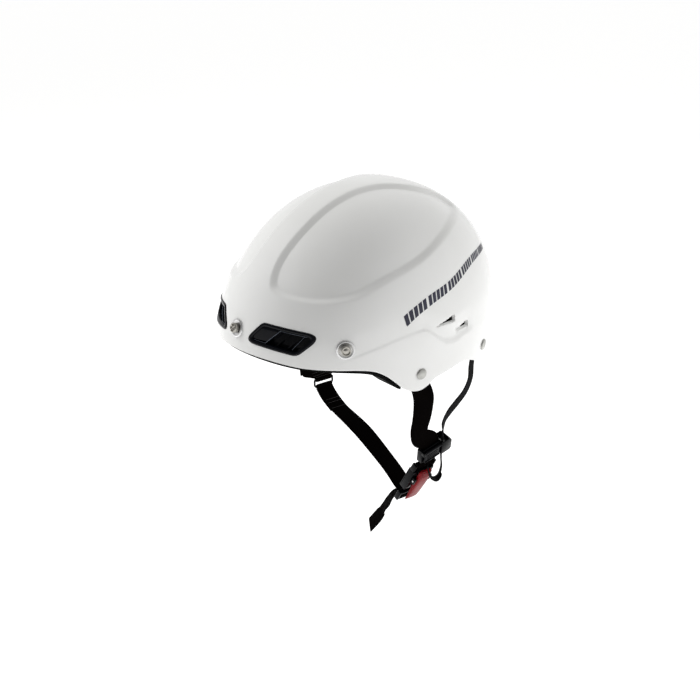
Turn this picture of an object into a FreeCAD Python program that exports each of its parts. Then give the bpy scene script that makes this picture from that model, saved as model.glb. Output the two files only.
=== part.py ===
import FreeCAD, Part
import math
import os

import Sketcher
from FreeCAD import Placement, Rotation, Vector

# Water helmet: hard shell, foam liner and pads, visor studs, vents, strap harness and clasp.
# Frame: origin at the centre of the head opening, front along -Y, wearer's left along +X, up +Z.

doc = FreeCAD.newDocument("water_helmet")

# ---------------------------------------------------------------- driving dimensions
SIZES = [
    # shell of revolution-like form: reaches from the crown axis, and the powers of its curves
    ("shell_front", 138.5), ("shell_rear", 144), ("shell_side", 110), ("shell_top", 133.5),
    ("widest_height", 25), ("widest_tilt", 0.072), ("plan_power", 2.07),
    ("front_power", 1.91), ("side_power", 2.25), ("rear_power", 2.02),
    ("side_tuck", 3), ("rear_tuck", 10), ("tuck_depth", 50), ("skirt_depth", 75),
    ("shell_wall", 4), ("fit_gap", 0.3), ("recess_depth", 1.6), ("outlet_depth", 2.5),
    # foam liner cavity and comfort pads
    ("cavity_front", 104.5), ("cavity_rear", 108), ("cavity_side", 83), ("cavity_top", 104.5),
    ("pad_thick", 7), ("liner_drop", 4),
    # vents
    ("vent_proud", 0.8), ("vent_deep", 7),
    # visor studs and strap rivets
    ("washer_radius", 8), ("washer_thick", 1.8), ("washer_sunk", 0.8),
    ("stud_radius", 4.5), ("stud_height", 4), ("shank_radius", 2.4),
    ("backing_radius", 6), ("backing_thick", 1.4),
    ("rivet_radius", 5.25), ("rivet_height", 2), ("rivet_shank", 2), ("rivet_washer", 1),
    # webbing
    ("webbing_width", 20), ("webbing_thick", 1.5), ("tape_width", 12), ("tape_thick", 1.3),
    ("wire_radius", 1), ("ring_width", 25), ("ring_drop", 7), ("pin_clearance", 0.15), ("hinge_gap", 0.06),
    # clasp, in its own frame: across, along the tongue, and out from the face
    ("clasp_lean", 31), ("housing_width", 26), ("housing_start", 19), ("housing_end", 47),
    ("housing_low", -5), ("housing_thick", 8), ("cheek_thick", 2.4), ("cheek_end", 55.5),
    ("strap_bar_along", 52.8), ("strap_bar_out", -1), ("strap_bar_radius", 1.6),
    ("cavity_width", 20), ("tongue_width", 18), ("tongue_tip", 28), ("tongue_thick", 2),
    ("frame_width", 26), ("frame_length", 12), ("frame_thick", 5),
    ("adjuster_radius", 1.2), ("adjuster_along", 5),
    ("lever_width", 15), ("lever_pivot_along", 36), ("lever_pivot_out", 5.6), ("lever_pin_radius", 1),
    # strap divider
    ("divider_length", 16), ("divider_thick", 13.4), ("divider_front", -17.3), ("divider_back", 18.6),
    ("divider_face", 3.2), ("gate_thick", 1.7), ("gate_pin_radius", 0.8), ("gate_pin_up", 5.6), ("gate_pin_out", 5.1),
]
sheet = doc.addObject("Spreadsheet::Sheet", "Sizes")
for row, (alias, number) in enumerate(SIZES, start=1):
    sheet.set("A%d" % row, alias)
    sheet.set("B%d" % row, str(number))
    sheet.setAlias("B%d" % row, alias)
doc.recompute()


def size(alias):
    return float(sheet.get(alias))


def measure(expression):
    """Number that an expression on the sheet gives, so that sketches start near their solution."""
    if isinstance(expression, str):
        found = sheet.evalExpression(expression)
        return float(getattr(found, "Value", found))
    return float(expression)


# ---------------------------------------------------------------- sketch and body helpers
def named_body(label):
    body = doc.addObject("PartDesign::Body", label)
    body.Label = label
    return body


def origin_plane(body, role):
    return next(o for o in body.Origin.OriginFeatures if o.Role == role)


def pin_vertex(sketch, geometry, point, axis, expression):
    """Holds one coordinate of a point to an expression, or to the axis itself where it is zero."""
    number = measure(expression)
    if abs(number) < 1e-9:
        sketch.addConstraint(Sketcher.Constraint("PointOnObject", geometry, point, -2 if axis == "X" else -1))
        return
    if number > 0:
        held = Sketcher.Constraint("Distance" + axis, -1, 1, geometry, point, number)
    else:
        held = Sketcher.Constraint("Distance" + axis, geometry, point, -1, 1, -number)
    index = sketch.addConstraint(held)
    if isinstance(expression, str):
        sign = "" if number > 0 else "-1 * "
        sketch.setExpression("Constraints[%d]" % index, "%s(%s)" % (sign, expression))


def flat_sketch(body, role, name, offset=0):
    sketch = body.newObject("Sketcher::SketchObject", name)
    sketch.AttachmentSupport = (origin_plane(body, role), "")
    sketch.MapMode = "FlatFace"
    sketch.AttachmentOffset = Placement(Vector(0, 0, measure(offset)), Rotation())
    if isinstance(offset, str):
        sketch.setExpression("AttachmentOffset.Base.z", offset)
    return sketch


def outline(sketch, corners):
    """Closed polygon whose corners are pairs of expressions."""
    points = [Vector(measure(a), measure(b), 0) for a, b in corners]
    count = len(points)
    for i in range(count):
        sketch.addGeometry(Part.LineSegment(points[i], points[(i + 1) % count]), False)
    for i in range(count):
        sketch.addConstraint(Sketcher.Constraint("Coincident", i, 2, (i + 1) % count, 1))
    for i, (a, b) in enumerate(corners):
        pin_vertex(sketch, i, 1, "X", a)
        pin_vertex(sketch, i, 1, "Y", b)
    return sketch


def rectangle(left, right, low, high):
    return [(left, low), (right, low), (right, high), (left, high)]


def pad(body, name, corners, low, thick):
    sketch = outline(flat_sketch(body, "XY_Plane", name + "_sketch", low), corners)
    feature = body.newObject("PartDesign::Pad", name)
    feature.Profile = sketch
    feature.Length = measure(thick)
    if isinstance(thick, str):
        feature.setExpression("Length", thick)
    return feature


def pocket(body, name, corners, high, depth):
    """Cuts down from the height high. The volume has to fall, or the cut missed."""
    doc.recompute()
    before = body.Shape.Volume
    sketch = outline(flat_sketch(body, "XY_Plane", name + "_sketch", high), corners)
    feature = body.newObject("PartDesign::Pocket", name)
    feature.Profile = sketch
    feature.Length = measure(depth)
    if isinstance(depth, str):
        feature.setExpression("Length", depth)
    doc.recompute()
    if body.Shape.Volume > before - 0.01:
        raise RuntimeError("%s cut nothing from %s" % (name, body.Label))
    return feature


def turned_body(label, corners):
    """Solid of revolution about its own Z: corners are (radius, height) expressions."""
    body = named_body(label)
    sketch = outline(flat_sketch(body, "XZ_Plane", label + "_profile"), corners)
    feature = body.newObject("PartDesign::Revolution", label + "_turn")
    feature.Profile = sketch
    feature.ReferenceAxis = (sketch, ["V_Axis"])
    feature.Angle = 360
    return body


def cylinder(label, radius, length, placement):
    """Round bar centred on its placement, along the placement's Z."""
    bar = doc.addObject("Part::Cylinder", label)
    bar.Label = label
    bar.setExpression("Radius", radius)
    bar.setExpression("Height", length)
    doc.recompute()
    bar.Placement = placement.multiply(Placement(Vector(0, 0, -bar.Height.Value / 2), Rotation()))
    return bar


def feature(label, shape):
    """Sub-part with a shape of its own, for the organic pieces that no sketch describes."""
    held = doc.addObject("Part::Feature", label)
    held.Label = label
    held.Shape = shape
    return held


def axes_placement(base, x_axis, y_axis, z_axis):
    turn = FreeCAD.Matrix(
        x_axis.x, y_axis.x, z_axis.x, 0,
        x_axis.y, y_axis.y, z_axis.y, 0,
        x_axis.z, y_axis.z, z_axis.z, 0,
        0, 0, 0, 1)
    return Placement(base, Rotation(turn))


def unit(vector):
    return Vector(vector).normalize()


# ---------------------------------------------------------------- the shell's form
def signed_power(base, exponent):
    return math.copysign(abs(base) ** exponent, base)


def dome_point(azimuth, level, reach):
    """Point on a dome of the helmet's form. The azimuth runs from the front to the wearer's left.
    The level is an angle above the widest line, or below zero a depth under it in millimetres."""
    ahead, across = math.cos(azimuth), math.sin(azimuth)
    front_share, rear_share, side_share = max(ahead, 0) ** 2, max(-ahead, 0) ** 2, across ** 2
    bulge = (size("front_power") * front_share + size("rear_power") * rear_share
             + size("side_power") * side_share)
    angle, depth = max(level, 0), max(-level, 0)
    shrink = max(math.cos(angle), 0) ** (2 / bulge)
    rise = reach[3] * math.sin(angle) ** (2 / bulge) - depth
    plan = 2 / size("plan_power")
    forward = reach[0 if ahead >= 0 else 1] * signed_power(ahead, plan) * shrink
    left = reach[2] * signed_power(across, plan) * shrink
    tuck = (size("rear_tuck") * rear_share + size("side_tuck") * side_share) * (depth / size("tuck_depth")) ** 2
    keep = 1 - tuck / max(math.hypot(forward, left), 1)
    forward, left = forward * keep, left * keep
    return Vector(left, -forward, size("widest_height") - size("widest_tilt") * forward + rise)


def shell_reach(inset=0):
    return tuple(size("shell_" + way) - inset for way in ("front", "rear", "side", "top"))


def cavity_reach(inset=0):
    return tuple(size("cavity_" + way) - inset for way in ("front", "rear", "side", "top"))


def dome(reach):
    """Closed solid under a dome: a left and a right half surface and a flat bottom."""
    steps = [0, 6, 14, 23, 33, 43, 53, 63, 72, 80, 86, 90]
    levels = [-size("skirt_depth") * share for share in (1, 0.8, 0.6, 0.4, 0.25, 0.1)]
    levels += [math.radians(step) for step in steps]
    grid = []
    for turn in range(0, 181, 10):
        grid.append([dome_point(math.radians(turn), level, reach) for level in levels])
    surface = Part.BSplineSurface()
    surface.interpolate(grid)
    left = surface.toShape()
    low_edge = surface.vIso(surface.bounds()[2]).toShape()
    mirrored = [shape.mirror(Vector(0, 0, 0), Vector(1, 0, 0)) for shape in (left, low_edge)]
    bottom = Part.Face(Part.Wire([low_edge, mirrored[1]]))
    skin = Part.makeShell([left, mirrored[0], bottom])
    skin.sewShape()
    solid = Part.Solid(skin)
    if solid.Volume < 0:
        solid.reverse()
    return solid


def seat(azimuth_deg, level, inset=0, mirrored=False):
    """Placement on the shell: Z along the outward normal, X level and away from the front, Y upwards."""
    azimuth, step = math.radians(azimuth_deg), 0.01
    reach = shell_reach(inset)
    here = dome_point(azimuth, level, reach)
    around = dome_point(azimuth + step, level, reach) - dome_point(azimuth - step, level, reach)
    lift = step if level > 0 else 1
    upward = dome_point(azimuth, level + lift, reach) - dome_point(azimuth, level - lift, reach)
    out = unit(around.cross(upward))
    x_axis = unit(Vector(-out.y, out.x, 0))
    if mirrored:
        here, out, x_axis = [Vector(-v.x, v.y, v.z) for v in (here, out, x_axis)]
        x_axis = x_axis * -1
    return axes_placement(here, x_axis, out.cross(x_axis), out)


def both_sides(shape):
    return [shape, shape.mirror(Vector(0, 0, 0), Vector(1, 0, 0))]


def prism(points, along, smooth=False):
    """Straight prism on a closed outline: a smooth curve or a polygon."""
    if smooth:
        curve = Part.BSplineCurve()
        curve.interpolate(Points=points, PeriodicFlag=True)
        edges = [curve.toShape()]
    else:
        edges = Part.makePolygon(points + points[:1]).Edges
    return Part.Face(Part.Wire(edges)).extrude(along)


def below_rim(rim, half_width=150, floor=-120):
    """Everything under a rim line given as (y, z) points, to cut away."""
    curve = Part.BSplineCurve()
    curve.interpolate(Points=[Vector(-half_width, y, z) for y, z in rim])
    start, end = curve.StartPoint, curve.EndPoint
    corners = [end, Vector(-half_width, end.y, floor), Vector(-half_width, start.y, floor), start]
    edges = [curve.toShape()]
    edges += [Part.makeLine(a, b) for a, b in zip(corners, corners[1:])]
    return Part.Face(Part.Wire(edges)).extrude(Vector(2 * half_width, 0, 0))


# rim seen from the side: brow, ear flap, arch behind the ear, rear corner and nape
SHELL_RIM = [(-160, 31.5), (-137, 29.8), (-112, 24.3), (-90, 22), (-71, 20), (-58, 17), (-48, 11.5),
             (-38, 3), (-29, -5), (-20, -9.3), (-11, -10.3), (-3, -7.6), (4, -3.4), (13, -1), (24, 0.6),
             (38, 2.8), (50, 1.6), (63, -3), (76, -9.6), (86, -9), (100, -3.5), (122, 0), (160, 1)]
LINER_RIM = [(-160, 27.5), (-137, 25.8), (-112, 20.3), (-90, 18), (-71, 16), (-58, 13), (-48, 7.5),
             (-38, -1), (-29, -6.5), (-20, -7), (-8, -3), (8, 2), (30, 4), (60, 2), (80, -3), (100, 1),
             (122, 4), (160, 5)]
# crown recess seen from above, on the wearer's left
RECESS = [(15.5, -104), (22, -113), (38, -112), (65, -96), (85, -68), (93.5, -30), (92.5, 5), (80, 42),
          (57, 74), (39, 85), (31, 74), (27, 45), (18, 8), (14.4, -27), (14, -70)]
# air outlets behind the ear, as (y, z)
OUTLETS = [[(2, 46), (27.5, 53.2), (28.5, 46.8)], [(23, 35.8), (47.5, 42.6), (49, 36)]]
# vent insert and its opening, on the plane of the vent's seat
VENT = [(-38, -7.2), (-20.5, 11.3), (30.5, 6.3), (11, -13.2)]
VENT_HOLE = [(-18, -6.6), (-7.5, 6), (16, 3.6), (5.5, -8.8)]
VENT_SEAT = (27, math.radians(13.8))
STUD_SEATS = [(0, math.radians(14.3), False), (54.3, math.radians(8), False), (54.3, math.radians(8), True)]
RIVET_SEATS = [(85.5, -17.7, False), (85.5, -17.7, True), (123.4, -23.7, False), (123.4, -23.7, True)]

outer = dome(shell_reach())
rim_cut = below_rim(SHELL_RIM)


def on_seat(points, placement, out_from, out_to, grow=0):
    """Prism through a wall, on an outline given in a seat's plane and grown by a margin."""
    middle = sum(p[0] for p in points) / len(points), sum(p[1] for p in points) / len(points)
    corners = []
    for across, up in points:
        stretch = 1 + grow / math.hypot(across - middle[0], up - middle[1])
        corners.append(Vector(middle[0] + (across - middle[0]) * stretch,
                              middle[1] + (up - middle[1]) * stretch, out_from))
    block = prism(corners, Vector(0, 0, out_to - out_from))
    upright = [e for e in block.Edges if abs(e.tangentAt(e.FirstParameter).z) > 0.9]
    block = block.makeFillet(3 if len(points) == 4 and block.BoundBox.XLength > 40 else 1.5, upright)
    block.Placement = placement
    return block


def plug_on(placement, radius, out_from, out_to):
    """Round prism on a seat."""
    plug = Part.makeCylinder(radius, out_to - out_from, Vector(0, 0, out_from))
    plug.Placement = placement
    return plug


def outer_shell():
    wall = size("shell_wall")
    shape = outer.cut(dome(shell_reach(wall))).cut(rim_cut)
    recess_skin = outer.cut(dome(shell_reach(size("recess_depth"))))
    outlet_skin = outer.cut(dome(shell_reach(size("outlet_depth"))))
    recess = prism([Vector(x, y, 60) for x, y in RECESS], Vector(0, 0, 120), smooth=True)
    tools = both_sides(recess.common(recess_skin))
    for corners in OUTLETS:
        wedge = prism([Vector(80, y, z) for y, z in corners], Vector(50, 0, 0))
        tools += both_sides(wedge.common(outlet_skin))
    tools += both_sides(on_seat(VENT, seat(*VENT_SEAT), -20, 12, size("fit_gap")))
    gap = size("pin_clearance")
    for azimuth, level, mirrored in STUD_SEATS:
        place = seat(azimuth, level, 0, mirrored)
        tools.append(plug_on(place, size("washer_radius") + gap, -size("washer_sunk") - 0.05, 6))
        tools.append(plug_on(place, size("shank_radius") + gap, -12, 2))
    for azimuth, level, mirrored in RIVET_SEATS:
        tools.append(plug_on(seat(azimuth, level, 0, mirrored), size("rivet_shank") + gap, -12, 4))
    return shape.cut(tools)


def foam_liner():
    inset = size("shell_wall") + size("fit_gap")
    shape = dome(shell_reach(inset)).cut(dome(cavity_reach())).cut(below_rim(LINER_RIM))
    pockets = []
    # room for the strap ends and rivet tails beside the ears and at the rear corners
    for low, high in ((Vector(97, -30, -40), Vector(115, 8, 20)), (Vector(78, 62, -40), Vector(115, 96, 21))):
        pocket_box = Part.makeBox(high.x - low.x, high.y - low.y, high.z - low.z, low)
        pockets += both_sides(pocket_box)
    pockets += both_sides(on_seat(VENT, seat(*VENT_SEAT), -16, 5, 1))
    pockets += both_sides(on_seat(VENT_HOLE, seat(*VENT_SEAT), -75, 5))
    for azimuth, level, mirrored in STUD_SEATS:
        pockets.append(plug_on(seat(azimuth, level, 0, mirrored), size("backing_radius") + 1, -9, 0))
    return shape.cut(pockets)


def vent_insert(shape_of_hole):
    skin = dome(shell_reach(-size("vent_proud"))).cut(dome(shell_reach(size("vent_deep"))))
    body = on_seat(VENT, seat(*VENT_SEAT), -20, 12).common(skin)
    return body.cut(shape_of_hole)


feature("outer_shell", outer_shell())
feature("foam_liner", foam_liner())
left_vent = vent_insert(on_seat(VENT_HOLE, seat(*VENT_SEAT), -20, 12))
for label, shape in zip(("left_vent_insert", "right_vent_insert"), both_sides(left_vent)):
    feature(label, shape)

# comfort pads line the cavity: each is the layer inside the liner, within a box
pad_layer = dome(cavity_reach(size("fit_gap"))).cut(dome(cavity_reach(size("fit_gap") + size("pad_thick"))))
PAD_BOXES = {
    "brow_pad": (Vector(-62, -120, 36), Vector(62, -62, 60)),
    "left_side_pad": (Vector(48, -40, 34), Vector(100, 44, 74)),
    "right_side_pad": (Vector(-100, -40, 34), Vector(-48, 44, 74)),
    "nape_pad": (Vector(-52, 62, 14), Vector(52, 120, 48)),
}
for label, (low, high) in PAD_BOXES.items():
    block = Part.makeBox(high.x - low.x, high.y - low.y, high.z - low.z, low)
    feature(label, pad_layer.common(block))
crown_disc = Part.makeCylinder(46, 80, Vector(0, 0, 90))
feature("crown_pad", pad_layer.common(crown_disc))

# ---------------------------------------------------------------- studs and rivets
washer = turned_body("stud_washer_form", rectangle(
    "Sizes.shank_radius + Sizes.pin_clearance", "Sizes.washer_radius",
    "-Sizes.washer_sunk", "Sizes.washer_thick - Sizes.washer_sunk"))
stud_base = "Sizes.washer_thick - Sizes.washer_sunk + 0.05"
stud = turned_body("stud_form", [
    (0, "-(Sizes.shell_wall + Sizes.backing_thick + 1)"),
    ("Sizes.shank_radius", "-(Sizes.shell_wall + Sizes.backing_thick + 1)"),
    ("Sizes.shank_radius", stud_base),
    ("Sizes.stud_radius", stud_base),
    ("Sizes.stud_radius", stud_base + " + Sizes.stud_height"),
    (0, stud_base + " + Sizes.stud_height")])
backing = turned_body("stud_backing_form", rectangle(
    "Sizes.shank_radius + Sizes.pin_clearance", "Sizes.backing_radius",
    "-(Sizes.shell_wall + 0.7 + Sizes.backing_thick)", "-(Sizes.shell_wall + 0.7)"))
rivet_end = "-(Sizes.shell_wall + Sizes.webbing_thick + Sizes.rivet_washer + 2.6)"
rivet = turned_body("rivet_form", [
    (0, rivet_end), ("Sizes.rivet_shank", rivet_end), ("Sizes.rivet_shank", 0.3),
    ("Sizes.rivet_radius", 0.3), ("Sizes.rivet_radius - 0.4", 1.2),
    ("Sizes.rivet_radius * 0.55", "Sizes.rivet_height"), (0, "Sizes.rivet_height")])
rivet_ring = turned_body("rivet_washer_form", rectangle(
    "Sizes.rivet_shank + Sizes.pin_clearance", "Sizes.rivet_radius",
    rivet_end + " + 0.2", rivet_end + " + 0.2 + Sizes.rivet_washer"))
doc.recompute()
MASTERS = [washer, stud, backing, rivet, rivet_ring]


def group_on_seats(label, master, seats):
    """Identical fasteners, one solid at each seat, in one node."""
    copies = []
    for azimuth, level, mirrored in seats:
        copy = master.Shape.copy()
        copy.Placement = seat(azimuth, level, 0, mirrored)
        copies.append(copy)
    feature(label, Part.makeCompound(copies))


group_on_seats("stud_washers", washer, STUD_SEATS)
group_on_seats("visor_studs", stud, STUD_SEATS)
group_on_seats("stud_backings", backing, STUD_SEATS)
group_on_seats("strap_rivets", rivet, RIVET_SEATS)
group_on_seats("rivet_washers", rivet_ring, RIVET_SEATS)


# ---------------------------------------------------------------- clasp frame and webbing helpers
lean = math.radians(size("clasp_lean"))
ACROSS = Vector(0, 1, 0)
ALONG = Vector(math.sin(lean), 0, math.cos(lean))
OUT = ACROSS.cross(ALONG)
CLASP = Vector(46.7, 26, -154.1)
clasp_place = axes_placement(CLASP, ACROSS, ALONG, OUT)
across_turn = Rotation(Vector(0, 0, 1), ACROSS)


def in_clasp(along, out, across=0):
    return CLASP + ALONG * along + OUT * out + ACROSS * across


def ribbon(stations, width, thick, largest_twist=7):
    """Webbing through stations of (point, direction of its width), as one ruled solid. Twisted
    stretches get more sections, so that no face is warped much."""
    points, edges = [], []
    for (point, across), (after, across_after) in zip(stations, stations[1:]):
        point, after = Vector(*point), Vector(*after)
        across, across_after = unit(Vector(*across)), unit(Vector(*across_after))
        count = max(1, math.ceil(math.degrees(across.getAngle(across_after)) / largest_twist))
        for k in range(count):
            points.append(point + (after - point) * (k / count))
            edges.append(across + (across_after - across) * (k / count))
    points.append(Vector(*stations[-1][0]))
    edges.append(Vector(*stations[-1][1]))
    sections = []
    for i, across in enumerate(edges):
        run = unit(points[min(i + 1, len(points) - 1)] - points[max(i - 1, 0)])
        across = unit(across - run * across.dot(run))
        face = run.cross(across)
        corners = [points[i] + across * (a * width / 2) + face * (b * thick / 2)
                   for a, b in ((-1, -1), (1, -1), (1, 1), (-1, 1))]
        sections.append(Part.makePolygon(corners + corners[:1]))
    return Part.makeLoft(sections, True, True)


def flat_ribbon(line, width, thick, middle_y):
    """Webbing bent only in the XZ plane, from its (x, z) centre line."""
    points = [Vector(x, middle_y - width / 2, z) for x, z in line]
    upper, lower = [], []
    for i, point in enumerate(points):
        run = unit(points[min(i + 1, len(points) - 1)] - points[max(i - 1, 0)])
        side = run.cross(ACROSS) * (thick / 2)
        upper.append(point + side)
        lower.insert(0, point - side)
    edges = []
    for side in (upper, lower):
        curve = Part.BSplineCurve()
        curve.interpolate(Points=side)
        edges.append(curve.toShape())
    edges.insert(1, Part.makeLine(upper[-1], lower[0]))
    edges.append(Part.makeLine(lower[-1], upper[0]))
    return Part.Face(Part.Wire(edges)).extrude(ACROSS * width)


def sleeve(centre, bore, wall, width):
    """Webbing turned round a bar that lies along Y."""
    start = centre - ACROSS * (width / 2)
    ring = Part.makeCylinder(bore + wall, width, start, ACROSS)
    return ring.cut(Part.makeCylinder(bore, width, start, ACROSS))


webbing, thick = size("webbing_width"), size("webbing_thick")
tape, tape_thick = size("tape_width"), size("tape_thick")

# ---------------------------------------------------------------- strap divider and its gate
DIVIDER = Vector(82.6, 28.2, -88.8)
DIVIDER_ACROSS = unit(Vector(0, 0.972, 0.235))
DIVIDER_DOWN = unit(Vector(-0.32, 0.294, -0.9))
DIVIDER_DOWN = unit(DIVIDER_DOWN - DIVIDER_ACROSS * DIVIDER_DOWN.dot(DIVIDER_ACROSS))
DIVIDER_OUT = DIVIDER_DOWN.cross(DIVIDER_ACROSS)
divider_place = axes_placement(DIVIDER, DIVIDER_ACROSS, DIVIDER_DOWN * -1, DIVIDER_OUT)


def in_divider(down, across):
    point = DIVIDER + DIVIDER_DOWN * down + DIVIDER_ACROSS * across
    return (point.x, point.y, point.z)


divider = named_body("strap_divider")
half_length = "Sizes.divider_length / 2"
pad(divider, "divider_block",
    rectangle("Sizes.divider_front", "Sizes.divider_back", "-" + half_length, half_length),
    "-Sizes.divider_thick / 2", "Sizes.divider_thick")
# the webbing's side is thinner than the tape's side; one lug is left at the front for the gate's pin
face_depth = "Sizes.divider_thick / 2 - Sizes.divider_face"
pocket(divider, "webbing_face", [
    ("Sizes.divider_front - 1", "-" + half_length + " - 1"), (5.6, "-" + half_length + " - 1"),
    (5.6, half_length + " + 1"), (-15.2, half_length + " + 1"),
    (-15.2, 3.4), ("Sizes.divider_front - 1", 3.4)], "Sizes.divider_thick / 2", face_depth)
pocket(divider, "back_face", rectangle("Sizes.divider_front - 1", 5.6, "-" + half_length + " - 1", half_length + " + 1"),
       "-Sizes.divider_face", face_depth)


def divider_channel(front, back, half_depth):
    width = back - front
    box = Part.makeBox(width, 60, 2 * half_depth, Vector(front, -30, -half_depth))
    box.Placement = divider_place
    return box


EAR_OFFSET, TAPE_OFFSET = -5, 12
doc.recompute()
divider.Placement = divider_place
divider_shape = divider.Shape.copy()
for front, back, half_depth in ((-15.6, 5.6, 1.5), (6.8, 17.2, 5.7)):
    divider_shape = divider_shape.cut(divider_channel(front, back, half_depth))
divider.Label = "strap_divider_block"
MASTERS.append(divider)

gate = named_body("divider_gate")
pad(gate, "gate_plate", rectangle(-14.8, 5.2, "-" + half_length + " + 0.4", "Sizes.gate_pin_up"),
    "Sizes.divider_face + 0.3", "Sizes.gate_thick")
doc.recompute()
gate.Placement = divider_place
gate_pin_place = divider_place.multiply(Placement(
    Vector(-5.2, size("gate_pin_up"), size("gate_pin_out")), Rotation(Vector(0, 0, 1), Vector(1, 0, 0))))


def gate_rod(radius, start, end):
    """Round bar about the gate's pin, between two places across the divider."""
    rod = Part.makeCylinder(radius, end - start, Vector(0, 0, start + 5.2))
    rod.Placement = gate_pin_place
    return rod


knuckle = size("gate_pin_out") - size("divider_face") - 0.3
pin_hole = size("gate_pin_radius") + size("hinge_gap")
gate_shape = gate.Shape.fuse(gate_rod(knuckle, -14.8, 5.2)).cut(gate_rod(pin_hole, -20, 10))
gate.Label = "divider_gate_plate"
MASTERS.append(gate)
feature("divider_gate", gate_shape)
divider_shape = divider_shape.cut(gate_rod(pin_hole, -17, 6.7))
feature("strap_divider", divider_shape)
cylinder("gate_pin", "Sizes.gate_pin_radius", "23.4", gate_pin_place)

# ---------------------------------------------------------------- left straps
EAR_LINE = [((103.2, -12.5, 15), (0, 1, 0)), ((103, -11.7, 6.5), (0, 1, 0)), ((102.4, -9, -4), (0, 1, 0)),
            ((101.4, -4.5, -13), (0.08, 1, 0)), ((99.3, 0.4, -24), (0.3, 0.95, 0.05)),
            ((96, 3, -37), (0.25, 1, 0.1)), ((93, 4.2, -49), (-0.1, 1, 0.2)),
            ((91, 3.6, -59), (-0.1, 1, 0.4)), ((89.3, 6.5, -69), (0, 1, 0.5)),
            (in_divider(-13, EAR_OFFSET), tuple(DIVIDER_ACROSS)),
            (in_divider(12.2, EAR_OFFSET), tuple(DIVIDER_ACROSS)),
            (tuple(in_clasp(size("strap_bar_along") + 2.3, size("strap_bar_out") + 1.2)), (0, 1, 0))]
TAPE_EDGE = (0.785, -0.62, 0)
LOOP_EDGE = (0.76, -0.6, 0.2)
TAPE_LINE = [((86, 80.6, 15.5), (0.455, -0.885, 0)), ((86, 77.2, 7.6), (0.455, -0.885, 0)),
             ((86.3, 73, -3), (0.42, -0.9, 0)), ((87.6, 69.8, -13), (0.4, -0.9, 0.1)),
             ((89.4, 67.4, -25), (0.38, -0.88, 0.25)), ((88, 62.3, -38), (0.33, -0.83, 0.45)),
             ((86, 54.5, -47.5), (0.314, -0.8, 0.58)), ((85, 45.2, -56.4), (0.35, -0.8, 0.5)),
             ((84.8, 39.2, -65), (0.6, -0.72, 0.2)),
             (in_divider(-13, TAPE_OFFSET), TAPE_EDGE), (in_divider(11.5, TAPE_OFFSET), TAPE_EDGE),
             ((78.6, 42.8, -104.4), LOOP_EDGE), ((79.9, 42.3, -113.9), LOOP_EDGE),
             ((80.9, 38.6, -121), LOOP_EDGE), ((83.3, 30.7, -121.4), LOOP_EDGE),
             ((85.3, 23.6, -115.9), LOOP_EDGE), ((86.8, 19.7, -109), LOOP_EDGE),
             ((86.1, 19.4, -103.2), LOOP_EDGE)]
clasp_bar = in_clasp(size("strap_bar_along"), size("strap_bar_out"))
bore = size("strap_bar_radius") + size("pin_clearance")
ear_strap = ribbon(EAR_LINE, webbing, thick).fuse(sleeve(clasp_bar, bore, thick, webbing))
ear_strap = ear_strap.cut(Part.makeCylinder(bore, 40, clasp_bar - ACROSS * 20, ACROSS))
rivet_hole = size("rivet_shank") + size("pin_clearance")
ear_hole = plug_on(seat(*RIVET_SEATS[0][:2]), rivet_hole, -14, 4)
rear_hole = plug_on(seat(*RIVET_SEATS[2][:2]), rivet_hole, -14, 4)
feature("left_ear_strap", ear_strap.cut(ear_hole))
feature("left_rear_tape", ribbon(TAPE_LINE, tape, tape_thick).cut(rear_hole))

# ---------------------------------------------------------------- right straps, yoke and ring
RING_TOP = Vector(-87.2, 26, -73)
RING_LOW = RING_TOP - Vector(0, 0, size("ring_drop"))
mirror_x = lambda point: (-point[0], point[1], point[2])
RIGHT_EAR_LINE = [(mirror_x(p), w) for p, w in EAR_LINE[:3]]
RIGHT_EAR_LINE += [((-101, -5, -13), (0, 1, 0)), ((-98.5, -1, -31), (0, 1, -0.05)),
                   ((-94.5, 4, -46), (0, 1, -0.1)), ((-91.1, 8, -56), (0, 1, -0.15)),
                   ((-90.4, 9, -64), (0, 1, -0.15))]
RIGHT_TAPE_LINE = [(mirror_x(p), (-w[0], w[1], 0)) for p, w in TAPE_LINE[:2]]
RIGHT_TAPE_LINE += [((-88.6, 71, -4), (-0.4, -0.9, 0)), ((-91.2, 61, -21), (-0.1, -1, 0.3)),
                    ((-91.4, 50, -38), (0, -1, 0.4)), ((-90.4, 42, -51), (0, -1, 0.35)),
                    ((-90.15, 38.7, -58), (0, -1, 0.25)), ((-90.15, 37, -65), (0, -1, 0.2))]
mirrored_hole = [h.mirror(Vector(0, 0, 0), Vector(1, 0, 0)) for h in (ear_hole, rear_hole)]
feature("right_ear_strap", ribbon(RIGHT_EAR_LINE, webbing, thick).cut(mirrored_hole[0]))
feature("right_rear_tape", ribbon(RIGHT_TAPE_LINE, tape, tape_thick).cut(mirrored_hole[1]))

wire_bore = size("wire_radius") + size("hinge_gap")
yoke_plate = prism([Vector(-89.4, y, z) for y, z in
                    ((-2.5, -58.5), (9.5, -60.5), (44.5, -61.2), (43, -66), (36, -71.4), (15, -71.4), (1, -66))],
                   Vector(2.8, 0, 0))
yoke = yoke_plate.fuse(sleeve(RING_TOP, wire_bore, thick, webbing))
yoke = yoke.cut(Part.makeCylinder(wire_bore, 60, RING_TOP - ACROSS * 30, ACROSS))
feature("right_yoke_patch", yoke)


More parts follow.
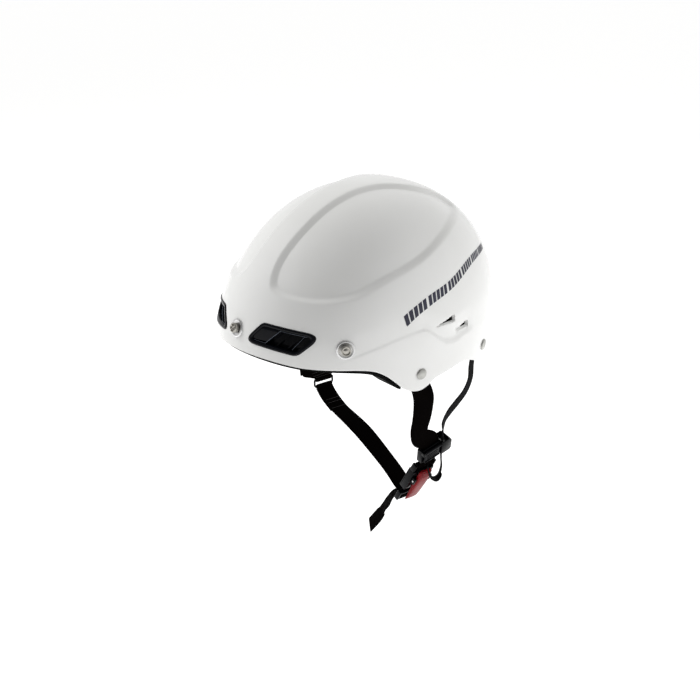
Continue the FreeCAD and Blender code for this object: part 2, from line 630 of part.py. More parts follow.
def ring_wire():
    """Rectangular wire ring with round corners, swept whole."""
    radius, corner = size("wire_radius"), 1.2
    half, drop = size("ring_width") / 2 - radius, size("ring_drop")
    low_y, high_y, low_z, high_z = RING_TOP.y - half, RING_TOP.y + half, RING_LOW.z, RING_LOW.z + drop
    x, diagonal = RING_TOP.x, corner * (1 - math.sqrt(0.5))
    edges = []
    turns = [(high_y, low_z, -1, 1), (high_y, high_z, -1, -1), (low_y, high_z, 1, -1), (low_y, low_z, 1, 1)]
    ends = []
    for i, (y, z, way_y, way_z) in enumerate(turns):
        along_y = Vector(x, y + way_y * corner, z)
        along_z = Vector(x, y, z + way_z * corner)
        middle = Vector(x, y + way_y * diagonal, z + way_z * diagonal)
        start, end = (along_y, along_z) if i % 2 == 0 else (along_z, along_y)
        edges.append(Part.Arc(start, middle, end).toShape())
        ends.append((start, end))
    for i in range(4):
        edges.append(Part.makeLine(ends[i][1], ends[(i + 1) % 4][0]))
    path = Part.Wire(Part.__sortEdges__(edges))
    start = path.OrderedVertexes[0].Point
    first = path.OrderedEdges[0]
    run = first.tangentAt(first.FirstParameter)
    section = Part.Wire(Part.makeCircle(radius, start, run))
    return path.makePipeShell([section], True, False)


feature("wire_ring", ring_wire())

# ---------------------------------------------------------------- chin strap and tail
adjuster_along = size("adjuster_along")
wrap_bore = size("adjuster_radius") + size("pin_clearance")
wrap_middle = wrap_bore + thick / 2
upper_start = in_clasp(adjuster_along + wrap_middle, -13)
upper_end = in_clasp(adjuster_along + wrap_middle, 0)
# centre line seen from the front, from the ring to the clasp
CHIN_LINE = [(-85.4, -81.6), (-76.3, -89.6), (-60.5, -97.8), (-45, -102.2), (-31, -106.2), (-19, -110.4),
             (-9, -114.8), (1.4, -119.8), (11.5, -124.9), (21.5, -130), (31, -135.6),
             (upper_start.x, upper_start.z), (upper_end.x, upper_end.z)]
middle_y = CLASP.y
chin = flat_ribbon(CHIN_LINE, webbing, thick, middle_y)
FOLD_LINE = [(x - 1.1, z - 1.15) for x, z in CHIN_LINE[:3]]
chin = chin.fuse(flat_ribbon(FOLD_LINE, webbing, thick, middle_y))
chin = chin.fuse(sleeve(Vector(RING_LOW.x, middle_y, RING_LOW.z), wire_bore, thick, webbing))
wrap = sleeve(in_clasp(adjuster_along, 0), wrap_bore, thick, webbing)
inner_half = Part.makeBox(40, 40, 40, Vector(-20, -20, -40))
inner_half.Placement = clasp_place
wrap = wrap.cut(inner_half)
lower_start = in_clasp(adjuster_along - wrap_middle, 0.05)
lower_end = in_clasp(adjuster_along - wrap_middle, -5)
TAIL_EDGE = (-0.785, 0.62, 0)
TAIL_END = (-0.843, 0.507, 0.18)
TAIL_LINE = [(tuple(lower_start), (0, 1, 0)), (tuple(lower_end), (0, 1, 0)),
             ((38.9, 26, -151.3), (-0.15, 1, 0)), ((35.4, 26, -155.2), (-0.35, 0.94, 0)),
             ((31.2, 26, -159.7), (-0.6, 0.8, 0)), ((25.5, 26, -165.9), TAIL_EDGE),
             ((17.8, 26, -175.7), TAIL_EDGE), ((13.8, 25, -183.4), (-0.8, 0.6, 0.1)),
             ((12.6, 22, -188.6), TAIL_END), ((3.8, 16, -203.6), TAIL_END)]
chin = chin.fuse([wrap, ribbon(TAIL_LINE, webbing, thick)])
bars = [Part.makeCylinder(wire_bore, 60, Vector(RING_LOW.x, -10, RING_LOW.z), ACROSS),
        Part.makeCylinder(wrap_bore, 60, in_clasp(adjuster_along, 0) - ACROSS * 30, ACROSS)]
feature("chin_strap", chin.cut(bars).removeSplitter())

# ---------------------------------------------------------------- clasp: tongue, bar, housing, lever
half_frame = "Sizes.frame_width / 2"
tongue = named_body("clasp_tongue")
pad(tongue, "tongue_frame", rectangle("-" + half_frame, half_frame, 0, "Sizes.frame_length"), -2.8, "Sizes.frame_thick")
half_tongue = "Sizes.tongue_width / 2"
pad(tongue, "tongue_blade", [
    ("-" + half_tongue, "Sizes.frame_length - 1"), (half_tongue, "Sizes.frame_length - 1"),
    (half_tongue, "Sizes.tongue_tip - 5"), (half_tongue + " - 4", "Sizes.tongue_tip"),
    ("-" + half_tongue + " + 4", "Sizes.tongue_tip"), ("-" + half_tongue, "Sizes.tongue_tip - 5")],
    -1.6, "Sizes.tongue_thick")
pocket(tongue, "webbing_window", rectangle(-10.4, 10.4, 1.5, 8.6), 3, 7)
pocket(tongue, "catch_notch", rectangle(-5, 5, 19.5, 24), 1, 4)
cylinder("adjuster_bar", "Sizes.adjuster_radius", "Sizes.cavity_width + 0.6", Placement(
    in_clasp(adjuster_along, 0), across_turn))

half_housing = "Sizes.housing_width / 2"
housing = named_body("clasp_housing")
housing_high = "Sizes.housing_low + Sizes.housing_thick"
pad(housing, "housing_block", rectangle("-" + half_housing, half_housing, "Sizes.housing_start", "Sizes.housing_end"),
    "Sizes.housing_low", "Sizes.housing_thick")
for name, near, far in (("rear_cheek", half_housing + " - Sizes.cheek_thick", half_housing),
                        ("front_cheek", "-" + half_housing, "-" + half_housing + " + Sizes.cheek_thick")):
    pad(housing, name, rectangle(near, far, "Sizes.housing_end - 1", "Sizes.cheek_end"),
        "Sizes.housing_low + 1", 6)
# lugs that carry the lever's pin
for name, near, far in (("rear_lug", 8.2, 11), ("front_lug", -11, -8.2)):
    pad(housing, name, rectangle(near, far, "Sizes.lever_pivot_along - 4", "Sizes.lever_pivot_along + 4"),
        housing_high + " - 0.5", 5)
doc.recompute()
housing.Placement = clasp_place


def clasp_block(across, along_from, along_to, out_from, out_to):
    """Box in the clasp's frame, centred across."""
    box = Part.makeBox(2 * across, along_to - along_from, out_to - out_from,
                       Vector(-across, along_from, out_from))
    box.Placement = clasp_place
    return box


def clasp_rod(radius, length, along, out):
    return Part.makeCylinder(radius, length, in_clasp(along, out) - ACROSS * (length / 2), ACROSS)


# the tongue's pocket opens outwards at its mouth, because the tongue's path is an arc about the ring
mouth, tip = size("housing_start"), size("tongue_tip")
half_cavity = size("cavity_width") / 2
tongue_pocket = prism([Vector(-half_cavity, along, out) for along, out in (
    (mouth - 2, -2.6), (tip + 1.4, -2), (tip + 1.4, 0.75), (mouth, 2.2), (mouth - 2, 2.7))],
    Vector(2 * half_cavity, 0, 0))
tongue_pocket.Placement = clasp_place
housing_shape = housing.Shape.cut([
    tongue_pocket,
    clasp_block(5.6, 20.4, 26.2, 0, 4),
    clasp_rod(size("lever_pin_radius") + 0.05, 24, size("lever_pivot_along"), size("lever_pivot_out"))])
housing_shape = housing_shape.fuse(clasp_rod(
    size("strap_bar_radius"), size("housing_width") - 1, size("strap_bar_along"), size("strap_bar_out")))
housing.Label = "clasp_housing_block"
MASTERS.append(housing)
feature("clasp_housing", housing_shape.removeSplitter())

tongue.Placement = clasp_place

lever = named_body("release_lever")
half_lever = "Sizes.lever_width / 2"
pad(lever, "lever_plate", rectangle("-" + half_lever, half_lever, "Sizes.housing_start - 1", "Sizes.housing_end + 3"),
    4.3, 3.2)
pad(lever, "lever_crown", rectangle("-" + half_lever + " + 1", half_lever + " - 1",
    "Sizes.housing_start + 6", "Sizes.housing_end - 6"), 7.4, 1.2)
pad(lever, "finger_lip", rectangle("-" + half_lever, half_lever, 4, "Sizes.housing_start"), 5.4, 2.1)
pad(lever, "catch", rectangle(-4.6, 4.6, 22, 25), 1.9, 2.5)
doc.recompute()
lever.Placement = clasp_place
pivot_along, pivot_out = size("lever_pivot_along"), size("lever_pivot_out")
lever_shape = lever.Shape.cut([
    clasp_rod(size("lever_pin_radius") + 0.05, 24, pivot_along, pivot_out),
    clasp_block(4, pivot_along - 3, pivot_along + 3, 3, 8.0)])
lever.Label = "release_lever_block"
MASTERS.append(lever)
feature("release_lever", lever_shape)
cylinder("lever_pin", "Sizes.lever_pin_radius", "22.4", Placement(in_clasp(pivot_along, pivot_out), across_turn))


def lever_spring():
    """Torsion spring on the lever's pin: a few turns of round wire."""
    wire, coil, pitch, turns = 0.3, 1.55, 0.9, 6
    helix = Part.makeHelix(pitch, pitch * turns, coil)
    start = helix.Edges[0].valueAt(helix.Edges[0].FirstParameter)
    run = helix.Edges[0].tangentAt(helix.Edges[0].FirstParameter)
    section = Part.Wire(Part.makeCircle(wire, start, run))
    coil_shape = Part.Wire(helix.Edges).makePipeShell([section], True, True)
    coil_shape.Placement = Placement(
        in_clasp(pivot_along, pivot_out) - ACROSS * (pitch * turns / 2), across_turn)
    return coil_shape


feature("lever_spring", lever_spring())

# ---------------------------------------------------------------- checks and export
NODES = ["outer_shell", "foam_liner", "left_vent_insert", "right_vent_insert", "brow_pad", "left_side_pad",
         "right_side_pad", "nape_pad", "crown_pad", "stud_washers", "visor_studs", "stud_backings",
         "strap_rivets", "rivet_washers", "left_ear_strap", "left_rear_tape", "right_ear_strap",
         "right_rear_tape", "right_yoke_patch", "wire_ring", "chin_strap", "clasp_tongue", "adjuster_bar",
         "clasp_housing", "release_lever", "lever_pin", "lever_spring", "strap_divider", "divider_gate",
         "gate_pin"]
doc.recompute()
for item in doc.Objects:
    if "Invalid" in item.State or "Error" in item.State:
        raise RuntimeError("%s is %s" % (item.Label, item.State))
os.makedirs("parts", exist_ok=True)
for label in NODES:
    item = doc.getObjectsByLabel(label)[0]
    shape = item.Shape
    if shape.isNull() or not shape.isValid() or shape.Volume <= 0 or not shape.Solids:
        raise RuntimeError("%s has no valid solid" % label)
    shape.exportStep("parts/%s.step" % label)
    print("%-18s %2d solid(s) %10.1f mm3" % (label, len(shape.Solids), shape.Volume))
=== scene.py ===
import math

import bmesh
import bpy
import numpy as np
from mathutils import Matrix, Vector
from mathutils.bvhtree import BVHTree
from mathutils.kdtree import KDTree


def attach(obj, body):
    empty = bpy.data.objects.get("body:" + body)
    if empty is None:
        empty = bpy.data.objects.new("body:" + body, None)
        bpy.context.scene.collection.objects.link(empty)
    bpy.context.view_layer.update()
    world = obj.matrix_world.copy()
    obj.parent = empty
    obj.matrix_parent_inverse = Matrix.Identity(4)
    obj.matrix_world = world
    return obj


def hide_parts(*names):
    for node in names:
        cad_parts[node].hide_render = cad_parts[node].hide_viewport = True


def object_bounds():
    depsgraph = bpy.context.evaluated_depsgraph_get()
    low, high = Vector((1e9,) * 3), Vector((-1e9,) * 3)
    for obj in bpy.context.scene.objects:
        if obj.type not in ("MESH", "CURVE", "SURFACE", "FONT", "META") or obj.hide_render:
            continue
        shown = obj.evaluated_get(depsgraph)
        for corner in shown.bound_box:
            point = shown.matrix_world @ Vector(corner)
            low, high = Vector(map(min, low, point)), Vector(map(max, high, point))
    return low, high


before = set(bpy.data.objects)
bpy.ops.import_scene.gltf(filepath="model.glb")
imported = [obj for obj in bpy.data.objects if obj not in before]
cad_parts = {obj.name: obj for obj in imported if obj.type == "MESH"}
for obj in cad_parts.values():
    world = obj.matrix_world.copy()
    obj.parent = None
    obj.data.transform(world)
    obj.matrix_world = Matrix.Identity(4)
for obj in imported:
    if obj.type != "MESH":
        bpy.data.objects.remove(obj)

# Water helmet. Lengths in this script are millimetres until a mesh is made, in the CAD's frame:
# front along -Y, wearer's left along +X, up +Z, origin at the centre of the head opening.

MM = 0.001
cad_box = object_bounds()


# ================================================================ camera, lights and floor
def make_camera():
    azimuth, elevation = math.radians(51.7), math.radians(18.8)
    aim_low, aim_left = math.tan(math.radians(3.015)), math.tan(math.radians(0.26))
    back = Vector((math.sin(azimuth) * math.cos(elevation), -math.cos(azimuth) * math.cos(elevation),
                   math.sin(elevation)))
    right = Vector((math.cos(azimuth), math.sin(azimuth), 0))
    up = back.cross(right)
    camera = bpy.data.objects.new("camera", bpy.data.cameras.new("camera"))
    bpy.context.scene.collection.objects.link(camera)
    camera.location = Vector((0, 0, 0.06)) + back * 1.2
    forward = -back - right * aim_left - up * aim_low
    camera.rotation_euler = forward.to_track_quat("-Z", "Y").to_euler()
    camera.data.sensor_width = 36
    camera.data.lens = 65.4
    camera.data.clip_start = 0.01
    bpy.context.scene.camera = camera


def area_light(name, place, size, watts, target=(0, 0, 0.03), tint=(1, 1, 1)):
    lamp = bpy.data.lights.new(name, "AREA")
    lamp.shape = "RECTANGLE"
    lamp.size, lamp.size_y = size
    lamp.energy = watts
    lamp.color = tint
    holder = bpy.data.objects.new(name, lamp)
    bpy.context.scene.collection.objects.link(holder)
    holder.location = place
    holder.rotation_euler = (Vector(target) - Vector(place)).to_track_quat("-Z", "Y").to_euler()
    holder.visible_glossy = False


def make_studio():
    """White surroundings for the camera. The object is lit by a bright horizon and floor under a
    gently darker ceiling, by a dimmer front, and by soft lamps that reflections don't show."""
    world = bpy.data.worlds.new("studio")
    bpy.context.scene.world = world
    world.use_nodes = True
    tree = world.node_tree
    new, link = tree.nodes.new, tree.links.new
    place = new("ShaderNodeTexCoord").outputs["Generated"]

    def along(direction, stops):
        """Grey level that depends on the angle to a direction."""
        toward = new("ShaderNodeVectorMath")
        toward.operation = "DOT_PRODUCT"
        toward.inputs[1].default_value = Vector(direction).normalized()
        link(place, toward.inputs[0])
        span = new("ShaderNodeMapRange")
        span.inputs["From Min"].default_value = -1
        link(toward.outputs["Value"], span.inputs["Value"])
        ramp = new("ShaderNodeValToRGB")
        while len(ramp.color_ramp.elements) < len(stops):
            ramp.color_ramp.elements.new(0.5)
        for element, (dot, level, warmth) in zip(ramp.color_ramp.elements, stops):
            element.position = (dot + 1) / 2
            element.color = (level, level, level * (1 - warmth), 1)
        link(span.outputs["Result"], ramp.inputs["Fac"])
        return ramp.outputs["Color"]

    height = along((0, 0, 1), CEILING)
    front = along(FRONT, FRONT_DIM)
    both = new("ShaderNodeMix")
    both.data_type, both.blend_type = "RGBA", "MULTIPLY"
    both.inputs[0].default_value = 1
    link(height, both.inputs[6])
    link(front, both.inputs[7])
    lit, seen, mix = new("ShaderNodeBackground"), tree.nodes["Background"], new("ShaderNodeMixShader")
    lit.inputs["Strength"].default_value = SKY_POWER
    link(both.outputs[2], lit.inputs["Color"])
    seen.inputs["Color"].default_value = (1, 1, 1, 1)
    seen.inputs["Strength"].default_value = 1.0
    link(new("ShaderNodeLightPath").outputs["Is Camera Ray"], mix.inputs["Fac"])
    link(lit.outputs["Background"], mix.inputs[1])
    link(seen.outputs["Background"], mix.inputs[2])
    link(mix.outputs["Shader"], tree.nodes["World Output"].inputs["Surface"])
    bpy.context.scene.view_settings.view_transform = "Standard"
    for name, where, size, watts in LAMPS:
        area_light(name, where, size, watts)
    floor_mesh = bpy.data.meshes.new("floor")
    reach, level = FLOOR_REACH, FLOOR_LEVEL
    floor_mesh.from_pydata([(-reach, -reach, level), (reach, -reach, level), (reach, reach, level),
                            (-reach, reach, level)], [], [(0, 1, 2, 3)])
    floor = bpy.data.objects.new("floor", floor_mesh)
    bpy.context.scene.collection.objects.link(floor)
    pale = bpy.data.materials.new("floor_pale")
    pale.use_nodes = True
    shader = pale.node_tree.nodes["Principled BSDF"]
    shader.inputs["Base Color"].default_value = (0.8, 0.8, 0.8, 1)
    shader.inputs["Roughness"].default_value = 0.9
    shader.inputs["Emission Color"].default_value = (1, 1, 1, 1)
    shader.inputs["Emission Strength"].default_value = FLOOR_GLOW
    floor_mesh.materials.append(pale)


FLOOR_LEVEL = cad_box[0][2] - 0.15
FLOOR_REACH, FLOOR_GLOW = 6, 0.6
CEILING = [(-0.2, 1.0, 0), (0.3, 1.0, 0), (0.7, 0.84, 0.01), (0.84, 0.72, 0.02), (1.0, 0.7, 0.02)]
FRONT = (0.35, -0.75, 0.5)
FRONT_DIM = [(-1, 1.0, 0), (0.1, 1.0, 0), (0.7, 0.38, 0), (1.0, 0.26, 0)]
SKY_POWER = 0.83
# name, place and size in metres, and watts
LAMPS = [("back_lamp", (-0.5, 1.5, 0.85), (1.3, 0.7), 3), ("left_lamp", (-0.95, -0.6, 1.05), (0.7, 0.7), 14),
         ("right_lamp", (1.0, 1.1, 0.45), (0.9, 0.9), 6)]

make_camera()
make_studio()


# ================================================================ materials
class Graph:
    """A material's nodes, with short calls for the few kinds used here."""

    def __init__(self, name):
        self.material = bpy.data.materials.new(name)
        self.material.use_nodes = True
        self.tree = self.material.node_tree
        self.shader = self.tree.nodes["Principled BSDF"]
        self.place = self.tree.nodes.new("ShaderNodeTexCoord").outputs["Object"]
        self.normal = None

    def node(self, kind, settings=(), **inputs):
        made = self.tree.nodes.new("ShaderNode" + kind)
        for key, value in settings:
            setattr(made, key, value)
        for key, value in inputs.items():
            self.feed(made.inputs[key.replace("_", " ")], value)
        return made

    def feed(self, socket, value):
        if isinstance(value, bpy.types.NodeSocket):
            self.tree.links.new(value, socket)
        else:
            socket.default_value = value

    def math(self, operation, a, b=0.0):
        made = self.node("Math", [("operation", operation)])
        self.feed(made.inputs[0], a)
        self.feed(made.inputs[1], b)
        return made.outputs[0]

    def noise(self, scale, detail=3, place=None):
        made = self.node("TexNoise", Vector=place or self.place, Scale=scale, Detail=float(detail))
        return made.outputs["Fac"]

    def cells(self, scale, feature="F1", output="Distance"):
        made = self.node("TexVoronoi", [("feature", feature)], Vector=self.place, Scale=scale)
        return made.outputs[output]

    def ramp(self, factor, stops):
        made = self.node("ValToRGB", Fac=factor)
        elements = made.color_ramp.elements
        while len(elements) < len(stops):
            elements.new(0.5)
        for element, (at, color) in zip(elements, stops):
            element.position = at
            element.color = (*color, 1) if isinstance(color, tuple) else (color, color, color, 1)
        return made.outputs["Color"]

    def span(self, factor, low, high, from_low=0.0, from_high=1.0):
        made = self.node("MapRange", Value=factor)
        for key, value in (("From Min", from_low), ("From Max", from_high), ("To Min", low), ("To Max", high)):
            made.inputs[key].default_value = value
        return made.outputs["Result"]

    def bump(self, height, distance, strength=1.0):
        made = self.node("Bump", Height=height, Distance=distance * MM, Strength=strength)
        if self.normal:
            self.feed(made.inputs["Normal"], self.normal)
        self.normal = made.outputs["Normal"]
        self.feed(self.shader.inputs["Normal"], self.normal)

    def set(self, **inputs):
        for key, value in inputs.items():
            self.feed(self.shader.inputs[key.replace("_", " ")], value)
        return self.material


def gray(level):
    return (level, level, level)


def shell_white():
    g = Graph("shell_white")
    tone = g.ramp(g.noise(9, 4), [(0.35, (0.80, 0.80, 0.785)), (0.65, (0.84, 0.84, 0.83))])
    rough = g.span(g.noise(240, 5), 0.10, 0.20, 0.35, 0.65)
    g.bump(g.noise(420, 2), 0.02, 0.35)
    g.bump(g.noise(14, 1), 0.5, 0.10)
    return g.set(Base_Color=tone, Roughness=rough, IOR=1.5, Coat_Weight=0.6, Coat_Roughness=0.06)


def bead_foam():
    g = Graph("liner_foam")
    cell = g.cells(330)
    edge = g.cells(330, "DISTANCE_TO_EDGE")
    tone = g.ramp(edge, [(0.0, gray(0.0015)), (0.18, gray(0.006))])
    g.bump(g.span(cell, 1, 0, 0, 0.6), 0.35, 0.6)
    return g.set(Base_Color=tone, Roughness=g.span(edge, 0.85, 0.6, 0, 0.2), Specular_IOR_Level=0.05)


def knit(name, dark, light):
    g = Graph(name)
    fine = g.noise(900, 4)
    tone = g.ramp(g.noise(60, 5), [(0.3, dark), (0.7, light)])
    g.bump(fine, 0.3, 0.6)
    g.bump(g.cells(620), 0.35, 0.6)
    return g.set(Base_Color=tone, Roughness=0.92, Specular_IOR_Level=0.1, Sheen_Weight=0.03, Sheen_Roughness=0.5)


def moulded(name, dark, light, rough=(0.25, 0.4), grain=500, depth=0.03, coat=0.0, gloss=0.5):
    g = Graph(name)
    tone = g.ramp(g.noise(45, 4), [(0.35, dark), (0.7, light)])
    g.bump(g.noise(grain, 3), depth, 0.6)
    g.bump(g.noise(70, 2), 0.25, 0.12)
    return g.set(Base_Color=tone, Roughness=g.span(g.noise(160, 4), rough[0], rough[1], 0.35, 0.65),
                 Coat_Weight=coat, Coat_Roughness=0.08, Specular_IOR_Level=gloss)


def metal(name, dark, light, rough=(0.18, 0.34), scratch=0.02):
    g = Graph(name)
    tone = g.ramp(g.noise(130, 5), [(0.3, dark), (0.7, light)])
    stretched = g.node("Mapping", Vector=g.place)
    stretched.inputs["Scale"].default_value = (900, 900, 90)
    g.bump(g.noise(1.0, 4, stretched.outputs["Vector"]), scratch, 0.5)
    return g.set(Base_Color=tone, Metallic=1.0, Roughness=g.span(g.noise(300, 4), rough[0], rough[1], 0.35, 0.65))


def webbing(name, dark, light, rib=1.15, chevron=3.3, depth=0.16, gloss=0.03):
    """Woven webbing: herringbone ribs, from a UV map whose unit is a millimetre along and across."""
    g = Graph(name)
    uv = g.node("UVMap", [("uv_map", "weave")]).outputs["UV"]
    split = g.node("SeparateXYZ", Vector=uv)
    along, across = split.outputs["X"], split.outputs["Y"]
    slant = g.math("PINGPONG", across, chevron)
    warp = g.math("SINE", g.math("MULTIPLY", g.math("ADD", along, slant), 2 * math.pi / rib))
    weft = g.math("SINE", g.math("MULTIPLY", across, 2 * math.pi / 0.9))
    weave = g.math("ADD", g.math("MULTIPLY", warp, 0.35), g.math("MULTIPLY", weft, 0.18))
    height = g.math("ADD", weave, 0.5)
    fuzz = g.noise(1600, 3)
    tone = g.ramp(g.math("MULTIPLY", height, g.span(fuzz, 0.7, 1.2)), [(0.1, dark), (0.8, light)])
    g.bump(height, depth, 0.9)
    g.bump(fuzz, 0.12, 0.5)
    return g.set(Base_Color=tone, Roughness=g.span(height, 0.9, 0.7), Specular_IOR_Level=gloss)


def thread(name, color):
    g = Graph(name)
    twist = g.node("TexWave", [("bands_direction", "DIAGONAL")], Vector=g.place, Scale=700.0)
    g.bump(twist.outputs["Fac"], 0.08, 0.7)
    tone = g.ramp(g.noise(300, 3), [(0.3, tuple(c * 0.6 for c in color)), (0.7, color)])
    return g.set(Base_Color=tone, Roughness=0.6)


LOOK = {
    "shell_white": shell_white(),
    "liner_foam": bead_foam(),
    "pad_fabric": knit("pad_fabric", gray(0.006), gray(0.02)),
    "vent_black": moulded("vent_black", (0.001, 0.0013, 0.0025), (0.0025, 0.003, 0.0055), (0.12, 0.22), 300, 0.02,
                          0.0, 0.16),
    # a lighter finish than vent_black, for the beads along the vent's lips: painted glints
    "vent_painted_glint": moulded("vent_painted_glint", (0.05, 0.06, 0.08), (0.11, 0.12, 0.15), (0.1, 0.2), 300, 0.02, 0.0, 0.5),
    "washer_silver": metal("washer_silver", gray(0.66), gray(0.8), (0.25, 0.4)),
    "stud_nickel": metal("stud_nickel", (0.28, 0.27, 0.24), (0.55, 0.53, 0.49), (0.08, 0.2)),
    "rivet_steel": metal("rivet_steel", (0.4, 0.4, 0.38), (0.6, 0.6, 0.57), (0.3, 0.5)),
    "webbing_black": webbing("webbing_black", (0.0004, 0.0002, 0.0002), (0.003, 0.002, 0.0018), gloss=0.01),
    "tape_grey": webbing("tape_grey", (0.001, 0.001, 0.001), (0.011, 0.011, 0.012), 0.9, 1.6, 0.12, 0.05),
    "wire_black": moulded("wire_black", gray(0.0015), gray(0.004), (0.25, 0.4), 600, 0.02, 0.0, 0.2),
    "bar_steel": metal("bar_steel", gray(0.42), gray(0.62)),
    "clasp_black": moulded("clasp_black", (0.0006, 0.0007, 0.0011), (0.0016, 0.0018, 0.003), (0.2, 0.32), 650,
                           0.04, 0.0, 0.08),
    "lever_red": moulded("lever_red", (0.17, 0.003, 0.006), (0.25, 0.006, 0.01), (0.2, 0.32), 400, 0.02, 0.0, 0.1),
    "decal_ink": moulded("decal_ink", (0.012, 0.012, 0.03), (0.02, 0.02, 0.045), (0.3, 0.4), 300, 0.01),
    "thread_black": thread("thread_black", (0.03, 0.026, 0.026)),
}


# ================================================================ mesh helpers
def piece(name, verts, faces, look, body, slot, node=None, smooth=True, uvs=None):
    """A finished object from vertices in millimetres, riding on a CAD body."""
    mesh = bpy.data.meshes.new(name)
    mesh.from_pydata([tuple(float(c) * MM for c in v) for v in verts], [], [tuple(f) for f in faces])
    mesh.materials.append(LOOK[look])
    if uvs is not None:
        layer = mesh.uv_layers.new(name="weave")
        for loop in mesh.loops:
            layer.data[loop.index].uv = uvs[loop.vertex_index]
    mesh.validate()
    bm = bmesh.new()
    bm.from_mesh(mesh)
    bmesh.ops.recalc_face_normals(bm, faces=bm.faces)
    bm.to_mesh(mesh)
    bm.free()
    mesh.polygons.foreach_set("use_smooth", [smooth] * len(mesh.polygons))
    made = bpy.data.objects.new(name, mesh)
    bpy.context.scene.collection.objects.link(made)
    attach(made, body)
    if node:
        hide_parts(node)
    return made


def sharpen(obj, degrees=32):
    """Smooth shading that keeps edges sharper than an angle."""
    obj.data.set_sharp_from_angle(angle=math.radians(degrees))
    return obj


class Batch:
    """Vertices and faces gathered from several simple forms, to become one piece."""

    def __init__(self):
        self.verts, self.faces, self.uvs = [], [], []

    def add(self, verts, faces, place=None, uvs=None):
        start = len(self.verts)
        self.verts += [place @ Vector(v) if place else Vector(v) for v in verts]
        self.faces += [[start + i for i in face] for face in faces]
        self.uvs += uvs if uvs is not None else [(0.0, 0.0)] * len(verts)
        return self

    def solid(self, outline, low, high, place=None, bevel=0.5, segments=2):
        """Prism on an outline of (a, b) corners from low to high, with its edges rounded."""
        bm = bmesh.new()
        ring = [bm.verts.new((a, b, low)) for a, b in outline]
        base = bm.faces.new(ring)
        lifted = bmesh.ops.extrude_face_region(bm, geom=[base])
        for element in lifted["geom"]:
            if isinstance(element, bmesh.types.BMVert):
                element.co.z = high
        bmesh.ops.recalc_face_normals(bm, faces=bm.faces)
        if bevel:
            bmesh.ops.bevel(bm, geom=list(bm.edges), offset=bevel, segments=segments, profile=0.5,
                            affect="EDGES", clamp_overlap=True)
        bm.verts.index_update()
        self.add([v.co[:] for v in bm.verts], [[v.index for v in f.verts] for f in bm.faces], place)
        bm.free()
        return self

    def lathe(self, profile, place, steps=40):
        """Turned form about the placement's Z from (radius, height) points."""
        verts, faces = [], []
        count = len(profile)
        for i in range(steps):
            turn = 2 * math.pi * i / steps
            verts += [(r * math.cos(turn), r * math.sin(turn), h) for r, h in profile]
        for i in range(steps):
            for k in range(count - 1):
                a, b = i * count + k, ((i + 1) % steps) * count + k
                faces.append((a, b, b + 1, a + 1))
        return self.add(verts, faces, place)

    def tube(self, path, radius, steps=10, closed=False):
        """Round tube through points, which are already smooth."""
        path = [Vector(p) for p in path]
        count = len(path)
        verts, faces, side = [], [], None
        for i in range(count):
            after = path[(i + 1) % count] if closed else path[min(i + 1, count - 1)]
            before = path[i - 1] if closed else path[max(i - 1, 0)]
            run = (after - before).normalized()
            if side is None:
                side = run.orthogonal().normalized()
            side = (side - run * side.dot(run)).normalized()
            up = run.cross(side)
            for k in range(steps):
                turn = 2 * math.pi * k / steps
                verts.append(path[i] + (side * math.cos(turn) + up * math.sin(turn)) * radius)
        for i in range(count if closed else count - 1):
            for k in range(steps):
                a, b = i * steps, ((i + 1) % count) * steps
                faces.append((a + k, a + (k + 1) % steps, b + (k + 1) % steps, b + k))
        if not closed:
            faces.append(list(range(steps))[::-1])
            faces.append([(count - 1) * steps + k for k in range(steps)])
        return self.add(verts, faces)

    def build(self, name, look, body, slot, node=None, smooth=True, woven=False, degrees=32):
        made = piece(name, self.verts, self.faces, look, body, slot, node, smooth, self.uvs if woven else None)
        return sharpen(made, degrees)


def curve_through(points, step=1.5, closed=False):
    """Centripetal Catmull-Rom curve through points of any dimension, sampled at about equal steps."""
    pts = np.array(points, float)
    if closed:
        pts = np.vstack([pts[-1], pts, pts[:2]])
    else:
        pts = np.vstack([2 * pts[0] - pts[1], pts, 2 * pts[-1] - pts[-2]])
    samples = []
    for p0, p1, p2, p3 in zip(pts, pts[1:], pts[2:], pts[3:]):
        gaps = [max(np.linalg.norm((b - a)[:3]), 1e-6) ** 0.5 for a, b in ((p0, p1), (p1, p2), (p2, p3))]
        t0, t1 = 0.0, gaps[0]
        t2 = t1 + gaps[1]
        t3 = t2 + gaps[2]
        count = max(2, int(np.linalg.norm((p2 - p1)[:3]) / step) + 1)
        for t in np.linspace(t1, t2, count, endpoint=False):
            a1 = (t1 - t) / (t1 - t0) * p0 + (t - t0) / (t1 - t0) * p1
            a2 = (t2 - t) / (t2 - t1) * p1 + (t - t1) / (t2 - t1) * p2
            a3 = (t3 - t) / (t3 - t2) * p2 + (t - t2) / (t3 - t2) * p3
            b1 = (t2 - t) / (t2 - t0) * a1 + (t - t0) / (t2 - t0) * a2
            b2 = (t3 - t) / (t3 - t1) * a2 + (t - t1) / (t3 - t1) * a3
            samples.append((t2 - t) / (t2 - t1) * b1 + (t - t1) / (t2 - t1) * b2)
    if not closed:
        samples.append(pts[-2])
    return np.array(samples)


